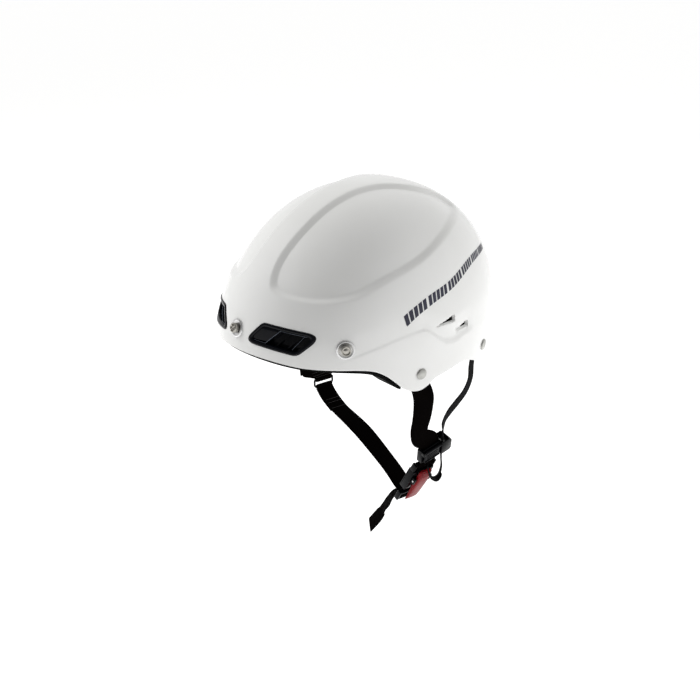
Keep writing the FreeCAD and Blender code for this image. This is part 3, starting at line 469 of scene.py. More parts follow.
def strap(batch, stations, width, thick, step=1.5, cup=0.0):
    """Flat webbing through stations of (point, direction of its width), with rounded selvages."""
    line = curve_through([tuple(p) + tuple(Vector(w).normalized()) for p, w in stations], step)
    points = [Vector(row[:3]) for row in line]
    count = len(points)
    lanes = np.linspace(-1, 1, 13)
    half = [thick / 2 * (1 - 0.55 * abs(v) ** 10) for v in lanes]
    ring = [(v, h) for v, h in zip(lanes, half)] + [(v, -h) for v, h in zip(lanes[::-1], half[::-1])]
    verts, faces, uvs, travel = [], [], [], 0.0
    for i, point in enumerate(points):
        run = (points[min(i + 1, count - 1)] - points[max(i - 1, 0)]).normalized()
        across = Vector(line[i][3:6])
        across = (across - run * across.dot(run)).normalized()
        face = run.cross(across)
        if i:
            travel += (point - points[i - 1]).length
        for v, h in ring:
            verts.append(point + across * (v * width / 2) + face * (h + cup * (v * v - 0.4)))
            uvs.append((travel, v * width / 2))
    size = len(ring)
    for i in range(count - 1):
        for k in range(size):
            a, b = i * size, (i + 1) * size
            faces.append((a + k, a + (k + 1) % size, b + (k + 1) % size, b + k))
    faces.append(list(range(size))[::-1])
    faces.append([(count - 1) * size + k for k in range(size)])
    batch.add(verts, faces, None, uvs)
    return points


def stitch_row(batch, start, end, normal, pitch=1.5, radius=0.22):
    """A row of raised stitches from one point to another."""
    start, end, normal = Vector(start), Vector(end), Vector(normal).normalized()
    count = max(2, int((end - start).length / pitch))
    step = (end - start) / count
    for i in range(count):
        at = start + step * i
        path = [at + normal * -0.1, at + step * 0.2 + normal * 0.22, at + step * 0.6 + normal * 0.22,
                at + step * 0.8 + normal * -0.1]
        batch.tube(path, radius, 6)


def frame_of(base, x_axis, y_axis, z_axis):
    """Placement matrix from a base point and three unit axes."""
    turn = Matrix((x_axis, y_axis, z_axis)).transposed().to_4x4()
    return Matrix.Translation(Vector(base)) @ turn


# ================================================================ the shell's form
FORM = {"widest": 25, "tilt": 0.072, "plan": 2.07, "front": 1.91, "side": 2.25, "rear": 2.02,
        "side_tuck": 3, "rear_tuck": 10, "tuck_depth": 50}
SHELL_REACH = (138.5, 144, 110, 133.5)
WALL = 4.0
SKIRT_RATE = 115.0
SHELL_RIM = [(-160, 29.8), (-137, 28.1), (-112, 22.9), (-90, 21.2), (-71, 19.8), (-58, 17), (-48, 11.5),
             (-38, 3), (-29, -5), (-20, -9.3), (-11, -10.3), (-3, -7.6), (4, -3.4), (13, -1), (24, 0.6),
             (38, 2.8), (50, 1.6), (63, -3), (76, -9.6), (86, -9), (100, -3.5), (122, 0), (160, 1)]
RECESS = [(15.5, -104), (22, -113), (38, -112), (65, -96), (85, -68), (93.5, -30), (92.5, 5), (80, 42),
          (57, 74), (39, 85), (31, 74), (27, 45), (18, 8), (14.4, -27), (14, -70)]
RECESS_DEPTH, RECESS_LIP = 3.4, 6.0
OUTLETS = [[(2, 45.6), (27.5, 53.4), (29, 52.6), (29.3, 47.6), (28, 46.6)],
           [(23, 35.4), (47.5, 42.8), (49.3, 41.8), (49.6, 37), (48.3, 36)]]
# the second pair: depths under the plain dome of the dark patches that paint shade into the outlets
OUTLET_DEPTH, OUTLET_SHADE_LEVELS = 5.5, (3.4, 4.4)
CREASE = [(-95, 24), (-82.6, 29.5), (-71, 34), (-53, 39.5), (-30, 45), (-8, 47), (-3, 44.5), (18, 30.5),
          (26, 29.5), (48, 33), (80, 35), (100, 37)]
CREASE_STEP = 1.3
VENT_FRAME = [(-40.2, -7.5), (-20.5, 11.8), (36.5, 6.5), (14.3, -14.2)]
VENT_RADII = (6, 9, 7, 11)


def shape_powers(azimuth):
    ahead, across = np.cos(azimuth), np.sin(azimuth)
    front, rear, side = np.maximum(ahead, 0) ** 2, np.maximum(-ahead, 0) ** 2, across ** 2
    bulge = FORM["front"] * front + FORM["rear"] * rear + FORM["side"] * side
    tuck = FORM["rear_tuck"] * rear + FORM["side_tuck"] * side
    return ahead, across, bulge, tuck


def dome(azimuth, level, reach=SHELL_REACH):
    """Points on the helmet's form. Level is radians above the widest line; below it, depth grows
    with the level at SKIRT_RATE."""
    azimuth, level = np.asarray(azimuth, float), np.asarray(level, float)
    ahead, across, bulge, tuck = shape_powers(azimuth)
    angle, depth = np.maximum(level, 0), np.maximum(-level, 0) * SKIRT_RATE
    shrink = np.maximum(np.cos(angle), 0) ** (2 / bulge)
    rise = reach[3] * np.sin(angle) ** (2 / bulge) - depth
    plan = 2 / FORM["plan"]
    forward = np.where(ahead >= 0, reach[0], reach[1]) * np.sign(ahead) * np.abs(ahead) ** plan * shrink
    left = reach[2] * np.sign(across) * np.abs(across) ** plan * shrink
    keep = 1 - tuck * (depth / FORM["tuck_depth"]) ** 2 / np.maximum(np.hypot(forward, left), 1)
    forward, left = forward * keep, left * keep
    return np.stack([left, -forward, FORM["widest"] - FORM["tilt"] * forward + rise], -1)


def dome_above(x, y):
    """The point of the dome over a place in plan."""
    power, forward = FORM["plan"], -y
    a = (np.abs(forward) / np.where(forward >= 0, SHELL_REACH[0], SHELL_REACH[1])) ** (power / 2)
    b = (np.abs(x) / SHELL_REACH[2]) ** (power / 2)
    azimuth = np.arctan2(np.sign(x) * b, np.sign(forward) * a)
    _, _, bulge, _ = shape_powers(azimuth)
    shrink = np.minimum(np.hypot(a, b) ** (2 / power), 1)
    return dome(azimuth, np.arccos(shrink ** (bulge / 2)))


def seat(azimuth_deg, level, mirrored=False):
    """Placement on the shell: Z outward, X level and away from the front, Y upwards."""
    azimuth, step = math.radians(azimuth_deg), 0.01
    here = Vector(dome(azimuth, level))
    around = Vector(dome(azimuth + step, level)) - Vector(dome(azimuth - step, level))
    upward = Vector(dome(azimuth, level + step)) - Vector(dome(azimuth, level - step))
    out = around.cross(upward).normalized()
    x_axis = Vector((-out.y, out.x, 0)).normalized()
    if mirrored:
        here, out = Vector((-here.x, here.y, here.z)), Vector((-out.x, out.y, out.z))
        x_axis = Vector((x_axis.x, -x_axis.y, 0))
    return frame_of(here, x_axis, out.cross(x_axis), out)


STUDS = [(0, math.radians(14.3), False), (54.3, math.radians(8), False), (54.3, math.radians(8), True)]
RIVETS = [(85.5, -17.7 / SKIRT_RATE, False), (85.5, -17.7 / SKIRT_RATE, True),
          (123.4, -23.7 / SKIRT_RATE, False), (123.4, -23.7 / SKIRT_RATE, True)]
VENT_SEATS = [seat(27, math.radians(13.8), side) for side in (False, True)]


def smooth_step(value):
    value = np.clip(value, 0, 1)
    return value * value * (3 - 2 * value)


def inside_polygon(px, py, corners):
    """Which points lie inside a closed polygon."""
    inside = np.zeros(px.shape, bool)
    for (ax, ay), (bx, by) in zip(corners, np.roll(corners, -1, axis=0)):
        if ay == by:
            continue
        crosses = (ay > py) != (by > py)
        inside ^= crosses & (px < (bx - ax) * (py - ay) / (by - ay) + ax)
    return inside


def edge_distance(px, py, corners):
    """Distance to a polygon's outline."""
    best = np.full(px.shape, 1e9)
    for (ax, ay), (bx, by) in zip(corners, np.roll(corners, -1, axis=0)):
        ex, ey = bx - ax, by - ay
        along = np.clip(((px - ax) * ex + (py - ay) * ey) / (ex * ex + ey * ey), 0, 1)
        best = np.minimum(best, np.hypot(px - ax - along * ex, py - ay - along * ey))
    return best


def rim_height(y):
    line = curve_through(SHELL_RIM, 1.0)
    return np.interp(y, line[:, 0], line[:, 1])


def rim_levels(azimuth):
    """Level at which each azimuth's section meets the rim line."""
    low, high = np.full(azimuth.shape, -0.6), np.full(azimuth.shape, 0.3)
    for _ in range(40):
        middle = (low + high) / 2
        points = dome(azimuth, middle)
        below = points[:, 2] < rim_height(points[:, 1])
        low, high = np.where(below, middle, low), np.where(below, high, middle)
    return (low + high) / 2


def relief(points):
    """How deep the outer surface lies under the plain dome, at each point."""
    x, y, z = points[..., 0], points[..., 1], points[..., 2]
    depth = np.zeros(x.shape)
    outline = curve_through(RECESS, 0.5, closed=True)
    over = dome_above(outline[:, 0], outline[:, 1])
    tree = KDTree(len(over))
    for i, point in enumerate(over):
        tree.insert(point, i)
    tree.balance()
    inside = inside_polygon(np.abs(x), y, outline[::4]) & (z > 60)
    for index in zip(*np.nonzero(inside)):
        far = tree.find((abs(x[index]), y[index], z[index]))[2]
        share = min(far / RECESS_LIP, 1)
        depth[index] = RECESS_DEPTH * (0.6 * share + 0.4 * share * share * (3 - 2 * share))
    for corners in OUTLETS:
        corners = np.array(corners, float)
        start, end = corners[:, 0].min(), corners[:, 0].max()
        hole = inside_polygon(y, z, corners) & (np.abs(x) > 60)
        fall = smooth_step(edge_distance(y, z, corners) / 1.1) * (0.4 + 0.6 * (y - start) / (end - start))
        depth = np.where(hole, OUTLET_DEPTH * fall, depth)
    line = curve_through(CREASE, 1.0)
    over_line = z - np.interp(y, line[:, 0], line[:, 1])
    fade = (0.28 * smooth_step((y + 95) / 25) + 0.9 * smooth_step((y + 22) / 18)
            - 0.9 * smooth_step((y - 46) / 12)) * smooth_step((100 - y) / 25) * (np.abs(x) > 40)
    step_down = smooth_step(over_line / 2.4 + 0.5) * (1 - smooth_step((over_line - 2) / 22))
    return depth + CREASE_STEP * step_down * fade


def round_outline(corners, radii, steps=9, along=16):
    """Polygon with its corners rounded, each by its own radius, and points along its sides."""
    arcs = []
    count = len(corners)
    for i in range(count):
        corner, before, after = Vector(corners[i]), Vector(corners[i - 1]), Vector(corners[(i + 1) % count])
        to_before, to_after = (before - corner).normalized(), (after - corner).normalized()
        half = math.acos(max(-1, min(1, to_before.dot(to_after)))) / 2
        reach = max(radii[i], 0.3) / math.tan(half)
        start, end = corner + to_before * reach, corner + to_after * reach
        shares = [k / steps for k in range(steps + 1)]
        arcs.append([start.lerp(corner, t).lerp(corner.lerp(end, t), t) for t in shares])
    result = []
    for i in range(count):
        start, end = arcs[i][-1], arcs[(i + 1) % count][0]
        result += arcs[i] + [start.lerp(end, k / along) for k in range(1, along)]
    return [tuple(point) for point in result]


def make_shell():
    fine = np.radians(0.36)
    left_zone = np.arange(math.radians(86), math.radians(117), fine)
    coarse = np.radians(1.25)
    vent_zone = np.arange(math.radians(8), math.radians(47), np.radians(0.5))
    front_part = np.arange(0, vent_zone[0] - coarse / 2, coarse)
    middle_part = np.arange(vent_zone[-1] + coarse, left_zone[0] - coarse / 2, coarse)
    rear_part = np.arange(left_zone[-1] + coarse, math.pi - coarse / 4, coarse)
    half = np.concatenate([front_part, vent_zone, middle_part, left_zone, rear_part])
    azimuth = np.concatenate([half, [math.pi], 2 * math.pi - half[:0:-1]])
    low = rim_levels(azimuth)
    shares = np.linspace(0, 1, 22)[:-1]
    knee = np.maximum(0.07, low + 0.03)[:, None]
    levels = np.concatenate([
        low[:, None] + (knee - low[:, None]) * shares[None, :],
        knee + (0.25 - knee) * np.linspace(0, 1, 30)[None, :-1],
        np.tile(np.linspace(0.25, math.pi / 2, 109)[:-1], (len(azimuth), 1))], axis=1)
    turn = np.tile(azimuth[:, None], (1, levels.shape[1]))
    points = dome(turn, levels)
    around = dome(turn + 0.004, levels) - dome(turn - 0.004, levels)
    upward = dome(turn, levels + 0.004) - dome(turn, np.maximum(levels - 0.004, -0.6))
    normal = np.cross(around, upward)
    normal /= np.maximum(np.linalg.norm(normal, axis=-1, keepdims=True), 1e-9)
    sunk = relief(points)[..., None]
    outer = points - normal * sunk
    # the rim turns inwards round a small radius, then the inner wall runs up to the crown
    edge, out = outer[:, 0], normal[:, 0]
    up = outer[:, 1] - outer[:, 0]
    up /= np.linalg.norm(up, axis=-1, keepdims=True)
    radius = 1.3
    lip = [edge + up * radius]
    for angle in (30, 60, 90):
        swing = math.radians(angle)
        lip.append(edge - out * radius * (1 - math.cos(swing)) + up * radius * (1 - math.sin(swing)))
    for angle in (90, 60, 30, 0):
        swing = math.radians(angle)
        lip.append(edge - out * (WALL - radius * (1 - math.cos(swing))) + up * radius * (1 - math.sin(swing)))
    rows = [outer[:, i] for i in range(outer.shape[1] - 1, 1, -1)] + lip
    inner = points - normal * np.maximum(WALL, sunk + 0.8)
    rows += [inner[:, i] for i in range(3, inner.shape[1], 6)]
    columns = len(azimuth)
    crown = Vector(dome(0.0, math.pi / 2))
    verts = [crown] + [v for row in rows for v in row]
    faces = [(0, 1 + i, 1 + (i + 1) % columns) for i in range(columns)]
    keep_out = []
    for place, flip in zip(VENT_SEATS, (1, -1)):
        inverse = np.array(place.inverted())
        radii = [r - 2 for r in VENT_RADII]
        outline = np.array(round_outline(inset(VENT_FRAME, 2.4), radii))
        keep_out.append((inverse, outline * (flip, 1)))
    grid = np.array([v for row in rows for v in row])
    in_vent = np.zeros(len(grid), bool)
    for inverse, corners in keep_out:
        local = grid @ inverse[:3, :3].T + inverse[:3, 3]
        in_vent |= inside_polygon(local[:, 0], local[:, 1], corners) & (np.abs(local[:, 2]) < 20)
    for k in range(len(rows) - 1):
        for i in range(columns):
            a, b = k * columns + i, k * columns + (i + 1) % columns
            if in_vent[a] or in_vent[b] or in_vent[a + columns] or in_vent[b + columns]:
                continue
            faces.append((1 + a, 1 + a + columns, 1 + b + columns, 1 + b))
    made = piece("helmet_shell", verts, faces, "shell_white", "shell", "shell_white", "outer_shell")
    return sharpen(made, 60)


def inset(corners, amount):
    """Convex outline with each side moved inwards by an amount."""
    lines, area = [], 0.0
    count = len(corners)
    for i in range(count):
        (ax, ay), (bx, by) = corners[i], corners[(i + 1) % count]
        area += ax * by - bx * ay
    turn = 1 if area > 0 else -1
    for i in range(count):
        a, b = Vector(corners[i]), Vector(corners[(i + 1) % count])
        run = (b - a).normalized()
        lines.append((a + Vector((-run.y, run.x)) * amount * turn, run))
    moved = []
    for i in range(count):
        (a, u), (b, v) = lines[i - 1], lines[i]
        cross = u.x * v.y - u.y * v.x
        t = ((b.x - a.x) * v.y - (b.y - a.y) * v.x) / cross
        moved.append((a.x + u.x * t, a.y + u.y * t))
    return moved


def surface_finder(obj):
    depsgraph = bpy.context.evaluated_depsgraph_get()
    return BVHTree.FromObject(obj, depsgraph)


shell = make_shell()
shell_surface = surface_finder(shell)
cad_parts["foam_liner"].data.materials[0] = LOOK["liner_foam"]


# ================================================================ vents
def well_height(s, t):
    """Vent floor: a ramp that ends in a raised lip, then a deep throat crossed by two slats."""
    edge = min(t, 1 - t)
    if s < 0.33:
        return -0.7 - 2.6 * s / 0.33 - 0.5 * smooth_step((0.18 - edge) / 0.18)
    if s < 0.352:
        return -2.1
    if s > 0.965 or edge < 0.05:
        return -1.5
    for slat in (0.55, 0.77):
        if abs(s - slat) < 0.016:
            return -4.6
    return -9.0


def vent_piece(name, node, place, mirrored):
    """Black vent: rounded frame standing over the shell, round a scoop."""
    flip = -1 if mirrored else 1
    out = place.to_3x3() @ Vector((0, 0, 1))

    def on_shell(a, b, lift):
        start = place @ Vector((a * flip, b, 15))
        hit = dome_tree.ray_cast(start * MM, -out)
        height = 15 - hit[3] / MM if hit[0] else 0
        return place @ Vector((a * flip, b, height + lift))

    rings = []
    for depth, lift in ((0.0, -1.2), (0.0, 0.15), (0.25, 0.6), (0.75, 0.9), (1.5, 1.0), (2.3, 0.85), (3.0, 0.4),
                        (3.3, -0.4), (3.4, -2.4)):
        radii = [r - depth * 0.8 for r in VENT_RADII]
        rings.append([(a, b, lift) for a, b in round_outline(inset(VENT_FRAME, depth), radii)])
    verts = [on_shell(a, b, lift) for ring in rings for a, b, lift in ring]
    size = len(rings[0])
    faces = []
    for k in range(len(rings) - 1):
        for i in range(size):
            a, b = k * size + i, k * size + (i + 1) % size
            faces.append((a, b, b + size, a + size))
    batch = Batch().add(verts, faces)
    left_low, left_high, right_high, right_low = (Vector(c) for c in inset(VENT_FRAME, 2.9))
    columns, rows = 96, 28
    verts = []
    for i in range(columns + 1):
        s = i / columns
        for k in range(rows + 1):
            t = k / rows
            spot = left_low.lerp(right_low, s).lerp(left_high.lerp(right_high, s), t)
            verts.append(on_shell(spot.x, spot.y, float(well_height(s, t))))
    faces = [(i * (rows + 1) + k, (i + 1) * (rows + 1) + k, (i + 1) * (rows + 1) + k + 1, i * (rows + 1) + k + 1)
             for i in range(columns) for k in range(rows)]
    batch.add(verts, faces)
    batch.build(name, "vent_black", "shell", "vent_black", node, degrees=40)
    # thin beads along the scoop's lips in a lighter colour than the vent: painted glints
    edges = Batch()
    corners = [Vector(c) for c in (left_low, left_high, right_low, right_high)]

    def spot(s, t, lift):
        at = corners[0].lerp(corners[2], s).lerp(corners[1].lerp(corners[3], s), t)
        return on_shell(at.x, at.y, lift)

    edges.tube([spot(0.335 + 0.02 * k / 12, 0.06 + 0.88 * k / 12, -1.95) for k in range(13)], 0.3, 8)
    edges.tube([spot(0.36 + 0.5 * k / 16, 0.93, -1.35) for k in range(17)], 0.22, 8)
    edges.tube([spot(0.87 - 0.06 * k / 10, 0.08 + 0.82 * k / 10, -3.0) for k in range(11)], 0.22, 8)
    edges.tube([spot(0.05 + 0.3 * k / 10, 0.07, -1.2) for k in range(11)], 0.2, 8)
    edges.build(name + "_glint_beads", "vent_painted_glint", "shell", "vent_black")


def plain_dome_tree():
    """Coarse plain dome in metres, to drop points on where the shell has its openings."""
    turn = np.linspace(0, 2 * math.pi, 361)
    rise = np.linspace(-0.25, math.pi / 2 - 0.02, 120)
    grid = dome(turn[:, None], rise[None, :]) * MM
    verts = [tuple(v) for v in grid.reshape(-1, 3)]
    faces = []
    for i in range(len(turn) - 1):
        for k in range(len(rise) - 1):
            a = i * len(rise) + k
            faces.append((a, a + 1, a + len(rise) + 1, a + len(rise)))
    return BVHTree.FromPolygons(verts, faces)


def make_outlet_shade_patches():
    """Dark patches at the bottom of the outlets on both sides: painted shade in the blind scoops, in the liner's foam
    material.
    """
    batch = Batch()
    for side in (1, -1):
        inwards = Vector((-side, 0, 0))
        for corners, level in zip(OUTLETS, OUTLET_SHADE_LEVELS):
            hits = [dome_tree.ray_cast(Vector((side * 200, y, z)) * MM, inwards)[0] for y, z in corners]
            count = len(hits)
            verts = [hit / MM + inwards * (level + thick) for thick in (0, 1) for hit in hits]
            sides = [(i, (i + 1) % count, count + (i + 1) % count, count + i) for i in range(count)]
            batch.add(verts, [list(range(count)), list(range(count, 2 * count))[::-1]] + sides)
    batch.build("outlet_shade_patches", "liner_foam", "shell", "liner_foam")


dome_tree = plain_dome_tree()
make_outlet_shade_patches()
vent_piece("brow_vent_left", "left_vent_insert", VENT_SEATS[0], False)
vent_piece("brow_vent_right", "right_vent_insert", VENT_SEATS[1], True)


# ================================================================ studs and rivets
def make_fasteners():
    washers, studs, slots, rivets = Batch(), Batch(), Batch(), Batch()
    for index, (azimuth, level, mirrored) in enumerate(STUDS):
        place = seat(azimuth, level, mirrored)
        washers.lathe([(2.55, -0.7), (2.55, 0.45), (5.0, 0.5), (6.0, 0.7), (6.7, 1.15), (7.5, 1.2),
                       (8.15, 0.9), (8.4, 0.4), (8.4, -0.8), (2.55, -0.7)], place, 56)
        studs.lathe([(2.4, -6.2), (2.4, 1.05), (4.1, 1.05), (4.45, 1.3), (4.5, 1.7), (4.5, 4.2), (4.35, 4.75),
                     (3.9, 5.05), (3.4, 5.0), (3.1, 4.7), (2.9, 4.0), (2.4, 3.9), (1.8, 4.35), (0.9, 4.6),
                     (0.0, 4.65)], place, 48)
        if index == 0:
            for quarter in range(4):
                turn = place @ Matrix.Rotation(math.radians(45 + 90 * quarter), 4, "Z")
                slots.solid([(0.9, -0.55), (4.1, -0.75), (4.1, 0.75), (0.9, 0.55)], 4.0, 5.04, turn, 0.2)
    washers.build("visor_washers", "washer_silver", "shell", "washer_silver", "stud_washers", degrees=50)
    studs.build("visor_snap_studs", "stud_nickel", "shell", "stud_nickel", "visor_studs", degrees=50)
    slots.build("front_stud_ribs", "stud_nickel", "shell", "stud_nickel")
    for azimuth, level, mirrored in RIVETS:
        rivets.lathe([(2.0, -9.0), (2.0, 0.1), (4.9, 0.1), (5.2, 0.3), (5.25, 0.6), (5.0, 1.1), (4.3, 1.5),
                      (3.0, 1.85), (1.6, 1.97), (0.0, 2.0)], seat(azimuth, level, mirrored), 48)
    rivets.build("harness_rivets", "rivet_steel", "shell", "rivet_steel", "strap_rivets", degrees=50)


make_fasteners()
for hidden in ("stud_backings", "rivet_washers"):
    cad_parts[hidden].data.materials[0] = LOOK["rivet_steel"]


# ================================================================ side markings
MARK_LINE = [(105, -29, 58), (105.6, -21, 63), (105, 0, 72), (102, 27, 80), (89, 63, 92.5), (66, 100, 95)]


def make_marks(name, mirrored):
    """Plain slanted bars that shrink towards the back, in place of lettering."""
    line = curve_through(MARK_LINE, 0.5)
    travel = np.concatenate([[0], np.cumsum(np.linalg.norm(np.diff(line, axis=0), axis=1))])
    batch = Batch()
    at, index = 1.0, 0
    while at < travel[-1] - 4:
        share = at / travel[-1]
        width, tall = 4.6 - 2.4 * share, 9.5 - 4.0 * share
        columns, rows = 3, 5
        verts = []
        for i in range(columns + 1):
            for k in range(rows + 1):
                lift = k / rows - 0.5
                along = at + width * i / columns + lift * tall * 0.34
                centre = Vector([np.interp(along, travel, line[:, c]) for c in range(3)])
                hit, out, _, _ = dome_tree.find_nearest(centre * MM)
                out = out if out.dot(hit) > 0 else -out
                ahead = Vector([np.interp(along + 1, travel, line[:, c]) for c in range(3)]) - centre
                upward = out.cross(ahead).normalized()
                upward = upward if upward.z > 0 else -upward
                hit, out, _, _ = shell_surface.find_nearest((centre + upward * lift * tall) * MM)
                out = out if out.dot(hit) > 0 else -out
                point = hit / MM + out * 0.12
                verts.append((-point.x if mirrored else point.x, point.y, point.z))
        faces = [(i * (rows + 1) + k, (i + 1) * (rows + 1) + k, (i + 1) * (rows + 1) + k + 1, i * (rows + 1) + k + 1)
                 for i in range(columns) for k in range(rows)]
        batch.add(verts, faces)
        at += width + (3.0 if index % 5 == 4 else 1.3) * (1 - 0.4 * share)
        index += 1
    return batch.build(name, "decal_ink", "shell", "vent_black", degrees=80)


make_marks("side_bars_left", False)
make_marks("side_bars_right", True)


# ================================================================ comfort pads
def soft_pad(node, name):
    """Padded piece inflated from its CAD solid by a cloth simulation."""
    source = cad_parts[node]
    made = bpy.data.objects.new(name, source.data.copy())
    bpy.context.scene.collection.objects.link(made)
    made.data.materials.clear()
    made.data.materials.append(LOOK["pad_fabric"])
    bpy.context.view_layer.objects.active = made
    shrink = made.modifiers.new("shrink", "DISPLACE")
    shrink.strength, shrink.mid_level = -1.1 * MM, 0
    remesh = made.modifiers.new("remesh", "REMESH")
    remesh.mode, remesh.voxel_size = "VOXEL", 3.2 * MM
    relax = made.modifiers.new("relax", "SMOOTH")
    relax.iterations, relax.factor = 4, 0.5
    flatten(made)
    start = np.array([v.co[:] for v in made.data.vertices])
    cloth = made.modifiers.new("cloth", "CLOTH")
    cloth.settings.use_pressure = True
    cloth.settings.uniform_pressure_force = 4
    cloth.settings.effector_weights.gravity = 0
    cloth.settings.quality = 4
    cloth.point_cache.frame_start, cloth.point_cache.frame_end = 1, 20
    for step in range(1, 21):
        bpy.context.scene.frame_set(step)
    flatten(made)
    bpy.context.scene.frame_set(1)
    end = np.array([v.co[:] for v in made.data.vertices])
    move = end - start
    far = np.linalg.norm(move, axis=1, keepdims=True)
    end = start + move * np.minimum(1, 2.2 * MM / np.maximum(far, 1e-9))
    made.data.vertices.foreach_set("co", end.ravel())
    smooth = made.modifiers.new("smooth", "SUBSURF")
    smooth.levels = smooth.render_levels = 1
    flatten(made)
    made.data.polygons.foreach_set("use_smooth", [True] * len(made.data.polygons))
    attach(made, "shell")
    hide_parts(node)
    return made


def flatten(obj):
    """Applies an object's modifiers to its mesh."""
    depsgraph = bpy.context.evaluated_depsgraph_get()
    depsgraph.update()
    mesh = bpy.data.meshes.new_from_object(obj.evaluated_get(depsgraph))
    obj.modifiers.clear()
    obj.data = mesh


for pad_node, pad_name in (("brow_pad", "brow_cushion"), ("left_side_pad", "side_cushion_left"),
                           ("right_side_pad", "side_cushion_right"), ("nape_pad", "nape_cushion"),
                           ("crown_pad", "crown_cushion")):
    soft_pad(pad_node, pad_name)


# ================================================================ clasp and divider frames
LEAN = math.radians(31)
ACROSS = Vector((0, 1, 0))
ALONG = Vector((math.sin(LEAN), 0, math.cos(LEAN)))
OUT = ACROSS.cross(ALONG)
CLASP = Vector((46.7, 26, -154.1))
clasp_place = frame_of(CLASP, ACROSS, ALONG, OUT)
STRAP_BAR, ADJUSTER = (52.8, -1), (5, 0)

DIVIDER = Vector((82.6, 28.2, -88.8))
D_ACROSS = Vector((0, 0.972, 0.235)).normalized()
D_DOWN = Vector((-0.32, 0.294, -0.9)).normalized()
D_DOWN = (D_DOWN - D_ACROSS * D_DOWN.dot(D_ACROSS)).normalized()
D_OUT = D_DOWN.cross(D_ACROSS)
divider_place = frame_of(DIVIDER, D_ACROSS, -D_DOWN, D_OUT)


def in_clasp(along, out, across=0):
    return CLASP + ALONG * along + OUT * out + ACROSS * across


def in_divider(down, across, out=0):
    return DIVIDER + D_DOWN * down + D_ACROSS * across + D_OUT * out


def flip_x(point):
    return (-point[0], point[1], point[2])


def turn_round(centre, radius, start_dir, quarter_dir, degrees, across, steps=7):
    """Stations of webbing that goes round a bar."""
    stations = []
    for i in range(steps + 1):
        swing = math.radians(degrees) * i / steps
        spoke = Vector(start_dir) * math.cos(swing) + Vector(quarter_dir) * math.sin(swing)
        stations.append((tuple(Vector(centre) + spoke * radius), tuple(across)))
    return stations


# ================================================================ left harness
WEBBING, THICK = 20, 1.5
TAPE, TAPE_THICK = 12, 1.3
EAR_LINE = [((103.2, -12.5, 15), (0, 1, 0)), ((103, -11.7, 6.5), (0, 1, 0)), ((102.4, -9, -4), (0, 1, 0)),
            ((101.4, -4.5, -13), (0.08, 1, 0)), ((99.3, 0.4, -24), (0.3, 0.95, 0.05)),
            ((96, 3, -37), (0.27, 1, 0.1)), ((93, 4.0, -49), (0.2, 1, 0.15)),
            ((91, 3.4, -59), (0.12, 1, 0.25)), ((89.3, 6.2, -69), (0.04, 1, 0.38))]
TAPE_EDGE = (0.785, -0.62, 0)
LOOP_EDGE = (0.76, -0.6, 0.2)
TAPE_LINE = [((86, 80.6, 15.5), (0.455, -0.885, 0)), ((86, 77.2, 7.6), (0.455, -0.885, 0)),
             ((86.3, 73, -3), (0.42, -0.9, 0)), ((87.6, 69.8, -13), (0.4, -0.9, 0.1)),
             ((89.4, 67.4, -25), (0.38, -0.88, 0.25)), ((88, 62.3, -38), (0.33, -0.83, 0.45)),
             ((86, 54.5, -47.5), (0.314, -0.8, 0.58)), ((85, 45.2, -56.4), (0.35, -0.8, 0.5)),
             ((84.8, 39.2, -65), (0.5, -0.83, 0.15))]
TAPE_LOOP = [((78.6, 42.8, -104.4), LOOP_EDGE), ((79.9, 42.3, -113.9), LOOP_EDGE),
             ((80.9, 38.6, -121), LOOP_EDGE), ((83.3, 30.7, -121.4), LOOP_EDGE),
             ((85.3, 23.6, -115.9), LOOP_EDGE), ((86.8, 19.7, -109), LOOP_EDGE),
             ((86.1, 19.4, -103.2), LOOP_EDGE)]


def make_left_straps():
    ear = Batch()
    line = EAR_LINE + [(tuple(in_divider(-13, -5)), tuple(D_ACROSS)), (tuple(in_divider(12.2, -5)), tuple(D_ACROSS))]
    bar = in_clasp(*STRAP_BAR)
    line += turn_round(bar, 2.5, OUT, -ALONG, 250, ACROSS)
    strap(ear, line, WEBBING, THICK)
    ear.build("ear_strap_left", "webbing_black", "shell", "webbing_black", "left_ear_strap", woven=True, degrees=50)
    tape = Batch()
    line = TAPE_LINE + [(tuple(in_divider(-13, 12)), TAPE_EDGE), (tuple(in_divider(11.5, 12)), TAPE_EDGE)] + TAPE_LOOP
    strap(tape, line, TAPE, TAPE_THICK)
    tape.build("rear_tape_left", "tape_grey", "shell", "tape_grey", "left_rear_tape", woven=True, degrees=50)


make_left_straps()

# ================================================================ right harness, yoke and ring
RING_TOP = Vector((-87.2, 26, -73))
RING_DROP, RING_WIDTH, WIRE = 7, 25, 1.0
RIGHT_EAR = [(flip_x(p), w) for p, w in EAR_LINE[:3]]
RIGHT_EAR += [((-101, -5, -13), (0, 1, 0)), ((-98.5, -1, -31), (0, 1, -0.05)),
              ((-94.5, 4, -46), (0, 1, -0.1)), ((-91.1, 8, -56), (0, 1, -0.15)),
              ((-90.4, 9, -64), (0, 1, -0.15))]
RIGHT_TAPE = [(flip_x(p), (-w[0], w[1], 0)) for p, w in TAPE_LINE[:2]]
RIGHT_TAPE += [((-88.6, 71, -4), (-0.4, -0.9, 0)), ((-91.2, 61, -21), (-0.1, -1, 0.3)),
               ((-91.4, 50, -38), (0, -1, 0.4)), ((-90.4, 42, -51), (0, -1, 0.35)),
               ((-90.15, 38.7, -58), (0, -1, 0.25)), ((-90.15, 37, -65), (0, -1, 0.2))]


